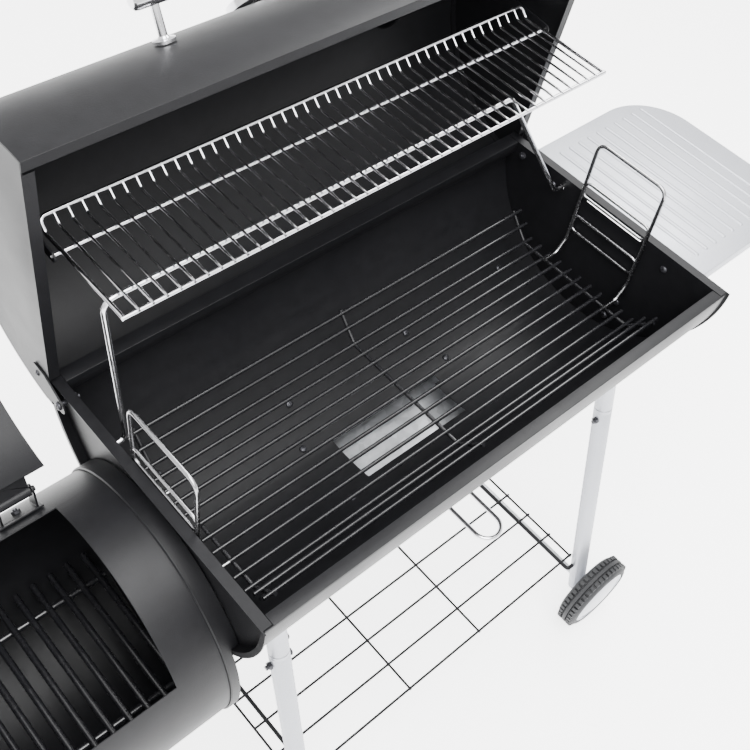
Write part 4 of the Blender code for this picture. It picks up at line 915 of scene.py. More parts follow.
def build_grate_handle(word, side):
    """A lifting handle: a tall bow of wire and its two hooking loops."""
    x, foot, heel = side * 0.337, side * 0.300, side * 0.322
    y0, y1 = -0.062, 0.044
    low, bend, top = -0.100, -0.080, 0.081
    path = bent([
        (foot, y0, low), (heel, y0, low), (x, y0, bend), (x, y0, top), (x, y1, top), (x, y1, bend),
        (heel, y1, low), (foot, y1, low)], 0.014, 8)
    paths, factors, closed = [path], [1.0], [False]
    for low, high in ((-0.003, 0.019), (-0.061, -0.036)):
        loop = bent([
            (x, 0, low), (x, y1 - 0.001, low), (x, y1 - 0.001, high), (x, y0 + 0.001, high),
            (x, y0 + 0.001, low), (x, 0, low)], 0.009, 8)
        paths.append(loop[:-1])
        factors.append(0.8)
        closed.append(True)
    curve = wire_curve("handle", paths, 0.0025, 4, closed, factors)
    name = f"grate_handle_{word}"
    # The handle wire gets the darkened chrome: painted shade of the dark barrel it reflects.
    piece(name + "_wire", curve, "handle_chrome_painted_shade", "charcoal_grate", name)


RACK_Z = 0.178
RACK_RAIL = 0.0023


def build_rack():
    """The warming rack: a frame, close tines with bright ends, and the pivot wire underneath."""
    half, front, bend, rear = 0.322, 0.062, 0.187, (0.198, 0.190)
    tine = sizes().rack_tine
    frame_path = bent([
        (-half, front + 0.001, RACK_Z), (-half, bend, RACK_Z), (-half, *rear), (half, *rear),
        (half, bend, RACK_Z), (half, front + 0.001, RACK_Z)], 0.009, 6)
    front_wire = [(-half - 0.0018, front, RACK_Z), (half + 0.0018, front, RACK_Z)]
    pivot = [(-0.333, RACK_PIVOT.y, RACK_PIVOT.z), (0.333, RACK_PIVOT.y, RACK_PIVOT.z)]
    paths, factors, closed = [frame_path, front_wire, pivot], [1.0, 1.0, 1.0], [False, False, False]
    count = sizes().rack_tines
    for i in range(count):
        x = (half - 0.0147) * (2 * i / (count - 1) - 1)
        top = RACK_Z + RACK_RAIL
        paths.append(bent([
            (x, front - 0.0022, top - 0.0004), (x, front + 0.004, top), (x, bend, top),
            (x, rear[0], rear[1] + 0.0006)], 0.012, 5))
        factors.append(tine / RACK_RAIL)
        closed.append(False)
    curve = wire_curve("rack", paths, RACK_RAIL, 3, closed, factors)
    piece("warming_rack_wires", curve, "chrome_wire", "warming_rack", "warming_rack")


def build_rack_legs():
    """The bent wire under the rack's front, its feet in the end walls."""
    top = (0.092, RACK_Z - RACK_RAIL - GAP - 0.003)
    foot = (RACK_FOOT.y, RACK_FOOT.z)
    end, inner, leaned = 0.3435, 0.325, 0.200
    path = bent([
        (-end, *foot), (-inner, *foot), (-inner, *top), (leaned, *top), (inner, *foot), (end, *foot)],
        0.014, 8)
    curve = wire_curve("legs", [path], 0.003, 5)
    piece("rack_legs_wire", curve, "chrome_wire", "rack_legs", "rack_legs")


# ---- firebox ---------------------------------------------------------------------------------
FIREBOX_OPENING_X = (-0.645, -0.415)
FIREBOX_HINGES = (-0.615, -0.445)
FIREBOX_GRATE_Z = -0.245
AIR_DISC_Z = -0.215
AIR_HOLES = 5
AIR_HOLE_RING = 0.028
AIR_HOLE_RADIUS = 0.009


def fire_arc(radius, first, last, steps):
    """(y, z) points round the firebox, in degrees from its top towards the rear."""
    return arc(radius, 90 - first, 90 - last, steps, (0, FIREBOX_Z))


def build_firebox_shell():
    """The firebox's sheet with the opening under its lid."""
    start, end = (FIREBOX_RIGHT, 0, FIREBOX_Z), (FIREBOX_LEFT, 0, FIREBOX_Z)
    length, inner = FIREBOX_LENGTH, FIREBOX_RADIUS - sizes().sheet
    profile = [(FIREBOX_RADIUS, 0), (FIREBOX_RADIUS, length), (inner, length), (inner, 0)]
    shell = turned(profile, start, end, 144, closed=True)
    wedge = [(0, FIREBOX_Z)] + fire_arc(FIREBOX_RADIUS * 1.3, -63.0, 27.0, 24)
    mesh = cut(shell, prism(wedge, *FIREBOX_OPENING_X))
    soften(piece("firebox_sheet", mesh, "black_paint", "grill", "firebox_shell"), sizes().edge)


def build_firebox_ends():
    """The plate and ring at the barrel's side, the dished far end and its air disc."""
    sheet = sizes().sheet
    (y0, y1), (z0, z1) = SMOKE_WAY
    plate_x = (FIREBOX_RIGHT - sheet - 0.004, FIREBOX_RIGHT - 0.004)
    seat = FIREBOX_RADIUS - sheet - GAP
    plate = rod((plate_x[0], 0, FIREBOX_Z), (plate_x[1], 0, FIREBOX_Z), seat, 144)
    way = block((plate_x[0] + sheet / 3, y0, z0), (-WALL_X - GAP, y1, z1))
    bore = block((plate_x[0] - 0.01, y0 + sheet, z0 + sheet), (-WALL_X + 0.01, y1 - sheet, z1 - sheet))
    mesh = cut(union(plate, way), bore)
    soften(piece("firebox_inner_plate", mesh, "black_paint", "grill", "firebox_collar"), sizes().edge)
    outer, inner = FIREBOX_RADIUS + 0.0025, FIREBOX_RADIUS + GAP
    right = -WALL_X - SHEET - GAP
    length = right + 0.363
    rounding = 0.0012
    profile = [
        (outer - rounding, 0), (outer, rounding), (outer, length - rounding), (outer - rounding, length),
        (inner, length), (inner, 0)]
    ring = turned(profile, (right, 0, FIREBOX_Z), (-1, 0, FIREBOX_Z), 144, closed=True)
    outside = block((FIREBOX_RIGHT, -0.3, -0.5), (-0.3, 0.3, 0.1))
    inside = rod((FIREBOX_RIGHT - 0.01, 0, 0), (-0.29, 0, 0), 0.1758, 2 * ARC_STEPS)
    mesh = cut(ring, cut(outside, inside))
    soften(piece("firebox_seam_ring", mesh, "black_paint", "grill", "firebox_ring"), 0.0003)
    build_firebox_far_end(seat, sheet)


def build_firebox_far_end(seat, sheet):
    """The dished far end with its bead and air holes, and the disc that turns over them."""
    dish, bead = FIREBOX_DISH, FIREBOX_RADIUS + 0.003
    profile = [
        (0, 0), (seat - sheet, 0), (seat - sheet, dish + GAP + sheet), (bead, dish + GAP + sheet),
        (bead, dish + GAP), (seat, dish + GAP), (seat, -sheet), (0, -sheet)]
    body = turned(profile, (FIREBOX_LEFT + dish, 0, FIREBOX_Z), (FIREBOX_LEFT - 1, 0, FIREBOX_Z), 144)
    mesh = cut(body, *air_holes(0.0), rod((-0.8, 0, AIR_DISC_Z), (-0.6, 0, AIR_DISC_Z), BOLT_HOLE, 24))
    soften(piece("firebox_far_end", mesh, "black_paint", "grill", "firebox_end"), 0.0004)
    face = FIREBOX_LEFT + dish - GAP
    inside = face + sheet + GAP * 2 + 0.001
    profile = [
        (0, 0), (0.0054, 0), (0.0054, 0.003), (0.003, 0.003), (0.003, inside + 0.003 - face),
        (0.048, inside + 0.003 - face), (0.048, inside + 0.0045 - face), (0, inside + 0.0045 - face)]
    disc = turned(profile, (inside + 0.003, 0, AIR_DISC_Z), (FIREBOX_LEFT - 1, 0, AIR_DISC_Z), 96)
    mesh = cut(disc, *air_holes(0.3))
    soften(piece("firebox_air_disc", mesh, "black_paint", "firebox_vent", "firebox_vent"), 0.0003)


def air_holes(shift):
    """Bars that drill a ring of air holes, turned by a part of their spacing."""
    holes = []
    for i in range(AIR_HOLES):
        turn = 2 * math.pi * (i + shift) / AIR_HOLES
        y, z = AIR_HOLE_RING * math.sin(turn), AIR_DISC_Z + AIR_HOLE_RING * math.cos(turn)
        holes.append(rod((-0.8, y, z), (-0.6, y, z), AIR_HOLE_RADIUS, 40))
    return holes


def build_firebox_hinges():
    """Brackets with ears and pins, and the nuts that hold them."""
    inner = FIREBOX_RADIUS + GAP * 2
    y, z = FIREBOX_HINGE.y, FIREBOX_HINGE.z
    for word, middle in zip(("left", "right"), FIREBOX_HINGES):
        outline = fire_arc(inner, 32, 44, 10) + fire_arc(inner + 0.002, 44, 32, 10)
        foot = prism(outline, middle - 0.024, middle + 0.024)
        root = fire_arc(inner + 0.001, 33.5, 42.5, 2)
        ears = []
        for side in (-1, 1):
            x = sorted((middle + side * 0.020, middle + side * 0.018))
            outline = [root[0], root[-1]] + arc(0.0062, -20, 200, 16, (y, z))
            ears.append(prism(outline, *x))
        pin = rod((middle - 0.0225, y, z), (middle + 0.0225, y, z), 0.003, 24)
        mesh = union(foot, *ears, pin)
        name = f"firebox_hinge_{word}"
        soften(piece(name + "_bracket", mesh, "black_paint", "grill", name), 0.0004)
        turn = math.radians(90 - 38)
        radial = Vector((0, math.cos(turn), math.sin(turn)))
        at = Vector((middle, 0, FIREBOX_Z)) + radial * (inner + 0.002)
        nuts = copies(hexagon_nut(0.0048, 0.0035), [facing(at, radial)])
        piece(f"firebox_hinge_nuts_{word}", nuts, "bolt_steel", "grill")


def build_firebox_lid():
    """The curved plate with the knuckles of its two hinges."""
    sheet = sizes().sheet
    inner = FIREBOX_RADIUS + GAP * 2
    body = prism(fire_arc(inner, -67, 30, 64) + fire_arc(inner + sheet, 30, -67, 64), -0.652, -0.408)
    pin = Vector((FIREBOX_HINGE.y, FIREBOX_HINGE.z))
    edge = Vector(fire_arc(inner + sheet / 2, 28, 30, 1)[0])
    step = (edge - pin).normalized()
    side = Vector((-step.y, step.x)) * 0.001
    start = pin + step * 0.0045
    arm = [tuple(start - side), tuple(edge - side), tuple(edge + side), tuple(start + side)]
    parts, holes = [], []
    for middle in FIREBOX_HINGES:
        parts.append(prism(arm, middle - 0.017, middle + 0.017))
        parts.append(rod((middle - 0.017, *pin), (middle + 0.017, *pin), 0.0055, 32))
        holes.append(rod((middle - 0.03, *pin), (middle + 0.03, *pin), BOLT_HOLE, 24))
    mesh = cut(union(body, *parts), *holes)
    plate = piece("firebox_lid_plate", mesh, "black_paint", "firebox_lid", "firebox_lid", FIREBOX_LID_PLACE)
    soften(plate, 0.0004)


def build_firebox_lid_handle():
    """A short turned bar on two posts, across the lid's front."""
    sheet, reach = sizes().sheet, 0.028
    outward = math.radians(90 + 55)
    radial = Vector((0, math.cos(outward), math.sin(outward)))
    base = Vector((-0.530, 0, FIREBOX_Z)) + radial * (FIREBOX_RADIUS + sheet + GAP * 4)
    out = base + radial * reach
    profile = [(0, 0.12), (0.005, 0.12), (0.0070, 0.1185), (0.0075, 0.115)]
    for i in range(9):
        profile += groove(0.100 - i * 0.010, 0.0075, 0.0066, 0.0025, 0.001)
    profile += [(0.0075, 0.005), (0.0070, 0.0015), (0.005, 0), (0, 0)]
    parts = [turned(profile, out - Vector((0.060, 0, 0)), out + Vector((0.060, 0, 0)), 32)]
    post = [(0, reach), (0.004, reach), (0.004, 0.004), (0.008, 0.002), (0.008, 0), (0, 0)]
    for sign in (-1, 1):
        at = base + Vector((sign * 0.042, 0, 0))
        parts.append(turned(post, at, at + radial, 24))
    bar = joined(*parts)
    piece("firebox_lid_bar", bar, "chrome_wire", "firebox_lid", "firebox_lid_handle", FIREBOX_LID_PLACE)


def build_firebox_grate():
    """Flat bars across the firebox on two runners."""
    low = FIREBOX_GRATE_Z
    bars = [[(x, -0.112, low), (x, 0.112, low)] for x in [-0.660 + 0.280 * i / 13 for i in range(14)]]
    runners = [[(-0.668, y, low - 0.0068), (-0.372, y, low - 0.0068)] for y in (-0.0784, 0.0784)]
    curve = wire_curve("bars", bars + runners, 0.004, 3)
    piece("firebox_grate_bars", curve, "wire_black", "grill", "firebox_grate")


# ---- legs, wheels and shelves ----------------------------------------------------------------
LEG_RADIUS = 0.0125
LEG_WALL = 0.0015
AXLE_Z = -0.595
CORNERS = (
    ("front_left", -1, -1), ("front_right", 1, -1), ("rear_left", -1, 1), ("rear_right", 1, 1))


def leg_point(side_x, side_y, height):
    """A point on a leg's middle line, at a height."""
    return Vector((side_x * LEG_X, side_y * (0.108 + (-0.144 - height) * LEG_LEAN), height))


def build_leg(corner, side_x, side_y):
    """A leg: the stub on the barrel, the long tube with its swaged ends, and the bolts at the joint."""
    top, joint = leg_point(side_x, side_y, -0.100), leg_point(side_x, side_y, LEG_JOINT_Z)
    bottom = leg_point(side_x, side_y, -0.614 if side_x > 0 else -0.648)
    first, inner = (joint - top).length, LEG_RADIUS - LEG_WALL
    spigot = inner - GAP
    stub = turned(
        [(LEG_RADIUS, 0), (LEG_RADIUS, first - 0.001), (LEG_RADIUS - 0.0006, first), (spigot, first),
         (spigot, first + 0.034), (spigot - LEG_WALL, first + 0.034), (spigot - LEG_WALL, 0)],
        top, joint, 48, closed=True)
    middle = joint + (bottom - joint).normalized() * 0.017
    across = Vector((LEG_RADIUS + 0.0005, 0, 0))
    hole = rod(middle - across * 2, middle + across * 2, BOLT_HOLE, 24)
    barrel = rod((-0.4, 0, 0), (0.4, 0, 0), RADIUS + GAP * 2, 2 * ARC_STEPS)
    piece(f"leg_stub_{corner}_tube", cut(stub, barrel, hole), "silver_paint", "grill", f"leg_stub_{corner}")
    length = (bottom - joint).length
    ring = 0.0004
    wide = LEG_RADIUS
    profile = [
        (wide - ring, GAP), (wide, GAP + ring), (wide, 0.0045), (wide - ring, 0.0055), (wide - ring, 0.0065),
        (wide, 0.0075), (wide, length - ring), (wide - ring, length), (inner, length), (inner, GAP)]
    tube = turned(profile, joint, bottom, 48, closed=True)
    cutters = [hole]
    if side_x > 0:
        at = Vector((LEG_X, 0, AXLE_Z))
        cutters.append(rod(at - Vector((0, 0.3, 0)), at + Vector((0, 0.3, 0)), 0.0056, 24))
    piece(f"leg_{corner}_tube", cut(tube, *cutters), "silver_paint", "grill", f"leg_{corner}")
    heads = [facing(middle + across, (1, 0, 0))]
    shaft = rod(middle + across, middle - across - Vector((0.007, 0, 0)), BOLT_SHAFT, 20)
    nut = copies(hexagon_nut(0.0052, 0.0038), [facing(middle - across, (-1, 0, 0))])
    mesh = joined(copies(cross_head(0.0055), heads), shaft, nut)
    piece(f"leg_bolt_{corner}_set", mesh, "bolt_steel", "grill", f"leg_bolt_{corner}")
    upper = joint - (bottom - joint).normalized() * 0.014
    spots = [facing(upper + Vector((LEG_RADIUS - 0.0003, 0, 0)), (1, 0, 0))]
    piece(f"leg_screw_{corner}", copies(cross_head(0.0048), spots), "bolt_steel", "grill")


def build_foot(word, side_y):
    """A plastic cap on the end of a left leg, flat on the ground."""
    end = leg_point(-1, side_y, -0.648)
    start = end - (end - leg_point(-1, side_y, LEG_JOINT_Z)).normalized() * 0.024
    inner, outer = LEG_RADIUS + GAP, LEG_RADIUS + 0.0025
    profile = [
        (outer - 0.0008, 0), (outer, 0.0008), (outer, 0.049), (0, 0.049), (0, 0.0244), (inner, 0.0244),
        (inner, 0)]
    ground = block((-0.5, -0.4, -MIDDLE.z - 0.1), (0, 0.4, -MIDDLE.z))
    mesh = cut(turned(profile, start, end, 48, closed=True), ground)
    soften(piece(f"leg_foot_{word}_cap", mesh, "foot", "grill", f"leg_foot_{word}"), 0.0005)


def build_hook():
    """The small black bar on the front right leg."""
    start, end = leg_point(1, -1, -0.218), leg_point(1, -1, -0.268)
    out = Vector((LEG_RADIUS + GAP, 0, 0))
    bar = out + Vector((0.006, 0, 0))
    path = bent([start + out, start + bar, end + bar, end + out], 0.005, 6)
    curve = wire_curve("hook", [path], 0.0024, 4)
    piece("tool_hook_bar", curve, "shelf_wire", "grill", "tool_hook")


def build_bottom_shelf():
    """Long wires over a frame, cross wires, and two thick rods hooked on the legs."""
    wire, thick = 0.0018, 0.003
    z, half_y, end = -0.554, 0.184, 0.277
    paths = [[(-end, -half_y + i * 0.046, z), (end, -half_y + i * 0.046, z)] for i in range(9)]
    under = z - wire * 1.4
    for x in (-0.275, -0.070, 0.070, 0.275):
        paths.append([(x, -half_y - 0.002, under), (x, half_y + 0.002, under)])
    factors = [1.0] * len(paths)
    low = z - (wire + thick) * 0.85
    hook = LEG_X - LEG_RADIUS - GAP * 2
    for side in (-1, 1):
        corners = [(side * hook, -0.1975, low), (side * 0.255, -0.1975, low), (side * 0.255, 0.1975, low),
                   (side * hook, 0.1975, low)]
        paths.append(bent(corners, 0.007, 6))
        factors.append(thick / wire)
    curve = wire_curve("shelf", paths, wire, 4, False, factors)
    piece("bottom_shelf_wires", curve, "shelf_wire", "grill", "bottom_shelf")


def build_wheel(word, side_y):
    """A tyre with a centre rib and two rows of tread blocks, and its hub cap."""
    radius, width, face = 0.065, 0.033, 0.257
    inner = Vector((LEG_X, side_y * (face - width), AXLE_Z))
    outer = Vector((LEG_X, side_y * face, AXLE_Z))
    base, seat = radius - 0.0042, 0.0508
    wall = [
        (seat, 0.0008), (seat + 0.0008, 0), (seat + 0.0030, 0), (seat + 0.0038, 0.0008),
        (base - 0.004, 0.0010), (base - 0.0012, 0.0032), (base, 0.0060), (base, width / 2 - 0.0034),
        (radius, width / 2 - 0.0024)]
    profile = wall + [(r, width - h) for r, h in reversed(wall)]
    tyre = turned(profile, inner, outer, 96, closed=True)
    count = sizes().treads
    step = 2 * math.pi / count
    blocks = []
    for row, (low, high) in enumerate(((0.0045, 0.0116), (width - 0.0116, width - 0.0045))):
        for i in range(count):
            turn = (i + 0.5 * row) * step
            blocks.append(tread_block(turn, step * 0.31, base - 0.0015, radius, low, high))
    tread = joined(*blocks)
    tread.transform(along(inner, outer))
    name = f"wheel_{word}"
    piece(name + "_tyre_ring", joined(tyre, tread), "tyre", name, name + "_tyre", angle=30)
    bore, boss, rim, hub = 0.0054, 0.003, 0.004, 0.050
    profile = [
        (bore, boss), (bore + 0.009, boss), (bore + 0.009, 0.010), (hub - rim, 0.010), (hub - rim, 0.0015),
        (hub - 0.0005, 0.001), (hub, 0.0015), (hub, width - 0.0016), (hub - 0.0008, width - 0.0008),
        (hub - 0.0020, width - 0.0008), (hub - 0.0030, width - 0.0024), (hub - 0.0055, width - 0.0030),
        (hub - 0.0068, width - 0.0018), (0.030, width + 0.0012), (0.012, width + 0.003), (0, width + 0.003),
        (0, width - 0.004), (bore, width - 0.004)]
    cap = turned(profile, inner, outer, 96, closed=True)
    piece(name + "_hub_cap", cap, "hub", name, name + "_hub", angle=40)


def tread_block(turn, half, low, high, first, last):
    """One tread block between two radii, tapered outwards."""
    shape = bmesh.new()
    corners = []
    for radius, spare in ((low, 1.15), (high, 1.0)):
        for angle, height in ((-half, first), (half, first), (half, last), (-half, last)):
            a = turn + angle * spare
            slope = 0.0004 if radius == high else 0.0
            level = height + slope * (1 if height == first else -1)
            corners.append(shape.verts.new((radius * math.cos(a), radius * math.sin(a), level)))
    for face in ((3, 2, 1, 0), (4, 5, 6, 7), (0, 1, 5, 4), (1, 2, 6, 5), (2, 3, 7, 6), (3, 0, 4, 7)):
        shape.faces.new([corners[i] for i in face])
    bmesh.ops.recalc_face_normals(shape, faces=shape.faces)
    mesh = bpy.data.meshes.new("block")
    shape.to_mesh(mesh)
    shape.free()
    return mesh


def build_axle():
    """The rod through the right legs that the wheels turn on."""
    reach = 0.252
    mesh = turned(
        [(0, 2 * reach), (0.004, 2 * reach), (0.005, 2 * reach - 0.001), (0.005, 0.001), (0.004, 0), (0, 0)],
        (LEG_X, -reach, AXLE_Z), (LEG_X, reach, AXLE_Z), 32)
    piece("wheel_axle_rod", mesh, "zinc", "grill", "wheel_axle")


SHELF_X = (0.358, 0.591)
SHELF_Y = (-0.140, 0.143)
SHELF_TOP = -0.009
SHELF_CORNER = 0.080


def shelf_outline(inset, open_end=0.0):
    """The side shelf's outline, set in all round, with its two far corners rounded."""
    radius = SHELF_CORNER - inset
    x, low, high = SHELF_X[1] - SHELF_CORNER, SHELF_Y[0] + SHELF_CORNER, SHELF_Y[1] - SHELF_CORNER
    left = SHELF_X[0] - open_end
    return [
        (left, SHELF_Y[1] - inset), (left, SHELF_Y[0] + inset), *arc(radius, -90, 0, 28, (x, low)),
        *arc(radius, 0, 90, 28, (x, high))]


def pressed_rib(x):
    """A long ridge with soft sides and round ends, standing on the shelf's face."""
    half, low, high = 0.0032, -0.115, 0.122
    rings = [(half, 0.0), (half * 0.85, 0.0006), (half * 0.5, 0.0011), (half * 0.15, 0.0012)]
    shape = bmesh.new()
    loops = []
    for reach, height in rings:
        ends = arc(reach, 0, 180, 10, (x, high - half)) + arc(reach, 180, 360, 10, (x, low + half))
        loops.append([shape.verts.new((a, b, SHELF_TOP + height)) for a, b in ends])
    for lower, upper in zip(loops, loops[1:]):
        for i in range(len(lower)):
            j = (i + 1) % len(lower)
            shape.faces.new((lower[i], lower[j], upper[j], upper[i]))
    shape.faces.new(loops[-1])
    shape.faces.new(loops[0][::-1])
    bmesh.ops.recalc_face_normals(shape, faces=shape.faces)
    mesh = bpy.data.meshes.new("rib")
    shape.to_mesh(mesh)
    shape.free()
    return mesh


def build_side_shelf():
    """The folded tray with its pressed ribs, and the two brackets under it."""
    sheet = sizes().sheet
    body = prism(shelf_outline(0), SHELF_TOP - 0.015, SHELF_TOP, axis="Z")
    hollow = prism(shelf_outline(sheet, 0.01), SHELF_TOP - 0.03, SHELF_TOP - sheet, axis="Z")
    tray = helper(cut(body, hollow))
    soften(tray, 0.0011, 3, 60)
    ribs = joined(*[pressed_rib(0.383 + i * 0.019) for i in range(10)])
    piece("side_shelf_tray", joined(evaluated(tray), ribs), "silver_paint", "grill", "side_shelf")
    arm_top = SHELF_TOP - SHEET - GAP
    root = WALL_X + SHEET + GAP
    for word, y in (("front", -0.098), ("rear", 0.091)):
        low, high = y - 0.010, y + 0.010
        bar = union(
            block((root, low, -0.040), (root + 0.003, high, arm_top)),
            block((root, low, arm_top - 0.003), (0.560, high, arm_top)))
        name = f"shelf_bracket_{word}"
        soften(piece(name + "_bar", bar, "black_paint", "grill", name), 0.0006)
        spots = [facing((x, y, arm_top - 0.003), (0, 0, -1)) for x in (0.400, 0.540)]
        nuts = copies(hexagon_nut(0.0046, 0.003), spots)
        piece(f"shelf_bracket_nuts_{word}", nuts, "bolt_steel", "grill")


# ---- ash pan ---------------------------------------------------------------------------------
PAN_X = 0.004
PAN_Y = -0.007
PAN_TOP = -0.184
PAN_HALF = (0.107, 0.062)
PAN_DEPTH = 0.028


def build_pan_rail(word, side):
    """An angle under the barrel: a web, a lip for the pan, and a curved flange."""
    sheet = SHEET
    inner = PAN_X + side * (PAN_HALF[0] + GAP * 2)
    outer = inner + side * sheet
    far = outer + side * 0.018
    low = PAN_TOP - PAN_DEPTH - GAP
    front, rear = -0.070, 0.058

    def part(x1, x2, z1, z2):
        return block((min(x1, x2), front, z1), (max(x1, x2), rear, z2))

    web = part(inner, outer, low - sheet, -0.120)
    lip = part(inner - side * 0.010, outer, low - sheet, low)
    barrel = rod((-0.3, 0, 0), (0.3, 0, 0), RADIUS + 2 * GAP, 2 * ARC_STEPS)
    outline = arc(RADIUS + 2 * GAP + sheet * 1.2, opening_angle(front), opening_angle(rear), 20)
    top = [(outline[-1][0], -0.120), (outline[0][0], -0.120)]
    flange = prism(outline + top, min(inner, far), max(inner, far))
    name = f"ash_pan_rail_{word}"
    mesh = cut(union(web, lip, flange), barrel)
    soften(piece(name + "_angle", mesh, "black_paint", "grill", name), 0.0004)


def build_pan():
    """The zinc tray and its wire handle."""
    sheet = SHEET
    (half_x, half_y), low = PAN_HALF, PAN_TOP - PAN_DEPTH
    tray = block((PAN_X - half_x, PAN_Y - half_y, low), (PAN_X + half_x, PAN_Y + half_y, PAN_TOP))
    hollow = block(
        (PAN_X - half_x + sheet, PAN_Y - half_y + sheet, low + sheet),
        (PAN_X + half_x - sheet, PAN_Y + half_y - sheet, PAN_TOP + 0.01))
    soften(piece("ash_pan_tray", cut(tray, hollow), "zinc", "ash_pan", "ash_pan"), 0.0006)
    x, z, side, front, reach = 0.005, low + 0.006, 0.018, PAN_Y - half_y, -0.183
    path = [(x - side, front + 0.001, z), (x - side, reach + side, z)]
    path += [(x + a, reach + side + b, z) for a, b in arc(side, 180, 360, 20)]
    path += [(x + side, reach + side, z), (x + side, front + 0.001, z)]
    piece("ash_pan_handle", wire_curve("handle", [path], 0.0028, 4), "chrome_wire", "ash_pan")


# ---- small bolts of the barrel --------------------------------------------------------------
def build_hinge_bolts():
    """A bolt through each end wall and hinge plate, with its nut inside."""
    for word, side in (("left", -1), ("right", 1)):
        face = Vector((side * 0.3578, HINGE.y, HINGE.z))
        inside = Vector((side * (WALL_X - 0.0004), HINGE.y, HINGE.z))
        shaft = rod(
            face + Vector((side * 0.001, 0, 0)), inside - Vector((side * 0.0045, 0, 0)), BOLT_SHAFT, 20)
        head = copies(cross_head(0.005), [facing(face, (side, 0, 0))])
        nut = copies(hexagon_nut(0.0052, 0.0035), [facing(inside, (-side, 0, 0))])
        name = f"hinge_bolt_{word}"
        piece(name + "_set", joined(shaft, head, nut), "bolt_steel", "grill", name)


def build_barrel_screws():
    """The screws that show inside and outside the barrel."""
    spots = []
    for x in (-0.097, 0.105):
        for y in (-0.052, 0.038):
            angle = math.degrees(math.asin(y / RADIUS))
            spots.append(round_barrel(x * 1.19, angle, True))
    for x in (-0.097, 0.097):
        spots.append(round_barrel(x, 30.0, True))
    for side_x in (-1, 1):
        for angle in (-33.0, 33.0):
            spots.append(round_barrel(side_x * LEG_X, angle, True))
    face = WALL_X - 0.0002
    for y, z in ((-0.098, -0.022), (0.091, -0.022), (-0.057, -0.119), (-0.048, -0.153)):
        spots.append(facing((face, y, z), (-1, 0, 0)))
    for y, z in ((-0.060, -0.150), (0.060, -0.150)):
        spots.append(facing((-face, y, z), (1, 0, 0)))
    piece("barrel_screws", copies(cross_head(0.0048), spots), "bolt_steel", "grill")


# ---- stage -----------------------------------------------------------------------------------
def build_floor():
    """A plain pale floor that reaches far around the grill."""
    low = CAD_BOX[0].z
    reach = 9.0
    mesh = bpy.data.meshes.new("floor")
    corners = [(-reach, -reach, low), (reach, -reach, low), (reach, reach, low), (-reach, reach, low)]
    mesh.from_pydata(corners, [], [(0, 1, 2, 3)])
    material, nodes, links, shader = new_material("floor", (0.86, 0.86, 0.86), 0.9)
    haze = texture(nodes, links, "ShaderNodeTexNoise", 1.5, Detail=2.0)
    target = shader.inputs["Base Color"]
    spread(nodes, links, haze.outputs["Fac"], (0.90, 0.90, 0.90), (0.92, 0.92, 0.92), target)
    shader.inputs["Emission Color"].default_value = (1.0, 1.0, 1.0, 1)
    shader.inputs["Emission Strength"].default_value = 3.0
    mesh.materials.append(material)
    item = bpy.data.objects.new("floor", mesh)
    bpy.context.scene.collection.objects.link(item)


def add_light(name, place, target, power, size):
    """A large soft light aimed at a point."""
    light = bpy.data.lights.new(name, "AREA")
    light.energy = power
    light.size = size
    item = bpy.data.objects.new(name, light)
    bpy.context.scene.collection.objects.link(item)
    place, target = MIDDLE + Vector(place), MIDDLE + Vector(target)
    item.location = place
    item.rotation_euler = (target - place).to_track_quat("-Z", "Y").to_euler()


def build_lights():
    """A bright even surround, and soft lights overhead, behind the camera and over the side shelf."""
    world = bpy.data.worlds.new("studio")
    world.use_nodes = True
    sky = world.node_tree.nodes["Background"]
    sky.inputs["Color"].default_value = (1.0, 1.0, 1.0, 1)
    sky.inputs["Strength"].default_value = 1.9
    bpy.context.scene.world = world
    add_light("overhead", (-0.3, -0.5, 2.0), (0, 0.1, -0.1), 120.0, 1.6)
    add_light("behind_camera", (-1.0, -1.4, 1.6), (0, 0, -0.1), 45.0, 1.6)
    add_light("over_shelf", (1.3, 0.6, 1.6), (0.5, 0.0, 0.0), 55.0, 1.0)


def build_camera():
    """A camera over the firebox's front corner, looking down along the barrel."""
    data = bpy.data.cameras.new("camera")
    data.lens = 50.77
    data.sensor_width = 36.0
    camera = bpy.data.objects.new("camera", data)
    bpy.context.scene.collection.objects.link(camera)
    right, up, back = (0.7437, -0.6587, 0.1142), (0.4650, 0.6325, 0.6194), (-0.4803, -0.4076, 0.7767)
    turn = Matrix((right, up, back)).transposed()
    camera.matrix_world = Matrix.Translation(MIDDLE + Vector((-0.6204, -0.4810, 0.8777))) @ turn.to_4x4()
    data.clip_start = 0.05
    bpy.context.scene.camera = camera


# ---- operators -------------------------------------------------------------------------------
class GRILL_OT_barrel(bpy.types.Operator):
    """Build the trough, its end walls and their screws"""

    bl_idname = "grill.barrel"
    bl_label = "Barrel"

    def execute(self, context):
        build_trough()
        build_end_wall("left", -1)
        build_end_wall("right", 1)
        build_barrel_screws()
        return {"FINISHED"}


class GRILL_OT_lid(bpy.types.Operator):
    """Build the lid with its ends, hinge plates and rack hangers"""

    bl_idname = "grill.lid"
    bl_label = "Lid"

    def execute(self, context):
        build_lid_sheet()
        for word, side in (("left", -1), ("right", 1)):
            build_lid_end(word, side)
            build_hinge_plate(word, side)
            build_rack_hanger(word, side)
        build_hinge_bolts()
        return {"FINISHED"}


class GRILL_OT_lid_fittings(bpy.types.Operator):
    """Build the lid's handle, thermometer, chimney and chimney cap"""

    bl_idname = "grill.lid_fittings"
    bl_label = "Lid fittings"

    def execute(self, context):
        build_lid_handle()
        build_thermometer()
        build_chimney()
        return {"FINISHED"}


class GRILL_OT_charcoal_grate(bpy.types.Operator):
    """Build the charcoal grate and its two lifting handles"""

    bl_idname = "grill.charcoal_grate"
    bl_label = "Charcoal grate"

    def execute(self, context):
        build_grate()
        build_grate_handle("left", -1)
        build_grate_handle("right", 1)
        return {"FINISHED"}


